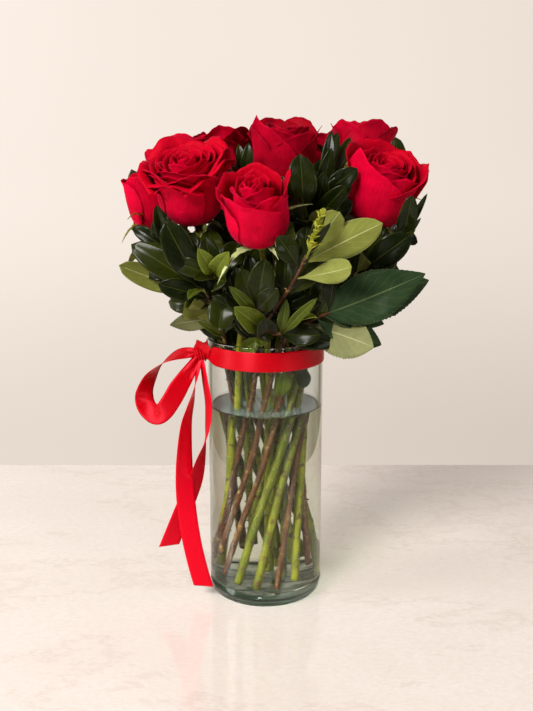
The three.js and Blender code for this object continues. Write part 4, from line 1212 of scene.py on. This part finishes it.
def strip_grid(stations, gather=(1, 1), cut=0.0, rows=70, columns=9):
    """The points of a ribbon along its stations. gather is the share of its width that its two ends
    are drawn in to, and its far end is cut at a slant."""
    stations = [np.array(s, float) for s in stations]
    grid = np.zeros((rows, columns, 3))
    for i in range(rows):
        t = i / (rows - 1)
        here = catmull(stations, t)
        ahead, behind = catmull(stations, min(t + 0.01, 1)), catmull(stations, max(t - 0.01, 0))
        along = unit(ahead[:3] - behind[:3])
        across = unit(here[3:] - along * np.dot(here[3:], along))
        normal = np.cross(along, across)
        first, last = float(smooth(t / 0.2)), float(smooth((t - 0.8) / 0.2))
        narrow = lerp(gather[0], 1, first) * lerp(1, gather[1], last)
        half = RIBBON["width"] / 2 * narrow
        for j in range(columns):
            u = -1 + 2 * j / (columns - 1)
            pucker = (1 - narrow) * 2.2 * math.sin(4.5 * u)
            slide = cut * u * last
            grid[i, j] = here[:3] + across * u * half + normal * pucker + along * slide
    return grid


def make_strip(name, grid, held, nodes=()):
    mesh = Mesh()
    closed_sheet(mesh, grid, RIBBON["thick"])
    # Hanging strips take the brighter satin and the rest the darker one: painted light on the tails,
    # painted shade on the band, loop, stub and knot.
    made = mesh.piece(name, [SATIN_HANGING_PAINTED_LIGHT if held == "hung" else SATIN_WOUND_PAINTED_SHADE], "ribbon", nodes)


def make_ribbon():
    """The band, which is drawn in where it enters the knot, and the strips of the bow."""
    radius = VASE["radius"] + CLEAR + 0.3
    low = RIBBON["band_bottom"]
    past = np.linspace(0, 359, 240)[:, None]
    turn = np.radians(KNOT["turn"] + past)
    across = np.linspace(-1, 1, 13)[None, :]
    near = smooth(np.minimum(past, 359 - past) / 24)
    middle = low + RIBBON["width"] / 2 + 0.3 + lerp(-1.5, 0, near)
    height = middle + across * RIBBON["width"] / 2 * lerp(0.3, 1, near)
    pucker = (1 - near) * (0.9 + 0.7 * np.sin(7 * across + past / 9))
    swell = radius + 0.2 + 0.2 * np.sin(3 * turn) * np.cos(3 * across) + pucker
    band = np.stack([swell * np.cos(turn), swell * np.sin(turn), height + 0 * turn], -1)
    make_strip("ribbon_band", band, "gathered", ["ribbon"])
    make_strip("ribbon_loop", strip_grid(BOW["loop"], (0.45, 0.5)), "gathered")
    make_strip("ribbon_front_tail", strip_grid(BOW["front_tail"], (0.4, 1), 3), "hung")
    make_strip("ribbon_back_tail", strip_grid(BOW["back_tail"], (0.4, 1), -4), "hung")
    make_strip("ribbon_stub", strip_grid(BOW["stub"], (0.45, 0.3), 2, 24), "gathered")
    make_strip("ribbon_knot", knot_grid(), "gathered")


def knot_grid(rows=60, columns=41):
    """The knot: the ribbon wound once over itself, drawn together into creases."""
    turn = np.linspace(0, 2 * np.pi * 0.97, rows)[:, None]
    u = np.linspace(-1, 1, columns)[None, :]
    crease = 1 + 0.14 * np.sin(10 * u + 1.2 * np.sin(turn)) - 0.12 * u ** 2
    at, (deep, high) = KNOT["at"], KNOT["reach"]
    x = at[0] + KNOT["half_width"] * u * (1 + 0.15 * np.cos(turn)) + 0.5 * np.sin(2 * turn)
    y = at[1] + deep * np.cos(turn) * crease
    z = at[2] + high * np.sin(turn) * crease
    return np.stack([x, y, z], -1)


make_ribbon()

# ---- table and light


def make_table():
    wide, deep, high = zip(TABLE["low"], TABLE["high"])
    corners = [(x, y, z) for x in wide for y in deep for z in high]
    faces = [(0, 1, 3, 2), (4, 6, 7, 5), (0, 4, 5, 1), (2, 3, 7, 6), (0, 2, 6, 4), (1, 5, 7, 3)]
    data = bpy.data.meshes.new("table")
    data.from_pydata([tuple(c * MM for c in p) for p in corners], [], faces)
    data.materials.append(table_material())
    table = bpy.data.objects.new("table", data)
    bpy.context.scene.collection.objects.link(table)


def make_lamp(name, at, size, watts, colour):
    data = bpy.data.lights.new(name, "AREA")
    data.shape = "DISK"
    data.size = size
    data.energy = watts
    data.color = colour
    lamp = bpy.data.objects.new(name, data)
    lamp.location = Vector(at) * MM
    lamp.rotation_euler = (Vector(LAMP_AIM) - Vector(at)).to_track_quat("-Z", "Y").to_euler()
    bpy.context.scene.collection.objects.link(lamp)


def make_world():
    """Soft studio light: a pale warm wall beyond the table, and a dimmer room in front of it."""
    world = bpy.data.worlds.new("room")
    world.use_nodes = True
    world.node_tree.nodes.clear()
    w = Nodes(world.node_tree)
    way = w.node("ShaderNodeTexCoord").outputs["Generated"]
    x, y, z = w.node("ShaderNodeSeparateXYZ", i0=way).outputs
    slope = w.math("MULTIPLY_ADD", x, -0.71, w.range(z, -0.33, -0.08, 0.14, 0.67, eased=True))
    shade = w.math("MULTIPLY_ADD", w.noise(3, 2, way), 0.25, slope)
    wall = w.mix(shade, WALL["dark"], WALL["light"])
    aside = w.range(w.math("ABSOLUTE", x), 0.28, 0.56, 0.0, 0.9, eased=True)
    wall = w.mix(aside, wall, WALL["edge"])
    room = w.mix(w.range(z, 0.5, 0.9, eased=True), ROOM["dark"], ROOM["light"])
    below = w.range(z, 0.3, 0.8, 1, 0, eased=True)
    beyond = w.math("MULTIPLY", w.range(y, -0.1, 0.75, eased=True), below)
    background = w.node("ShaderNodeBackground", i0=w.mix(beyond, room, wall))
    output = w.node("ShaderNodeOutputWorld")
    w.tree.links.new(background.outputs[0], output.inputs[0])
    bpy.context.scene.world = world


make_table()
make_world()
for name, lamp in LAMPS.items():
    make_lamp(name, *lamp)
bpy.context.scene.view_settings.view_transform = "Standard"
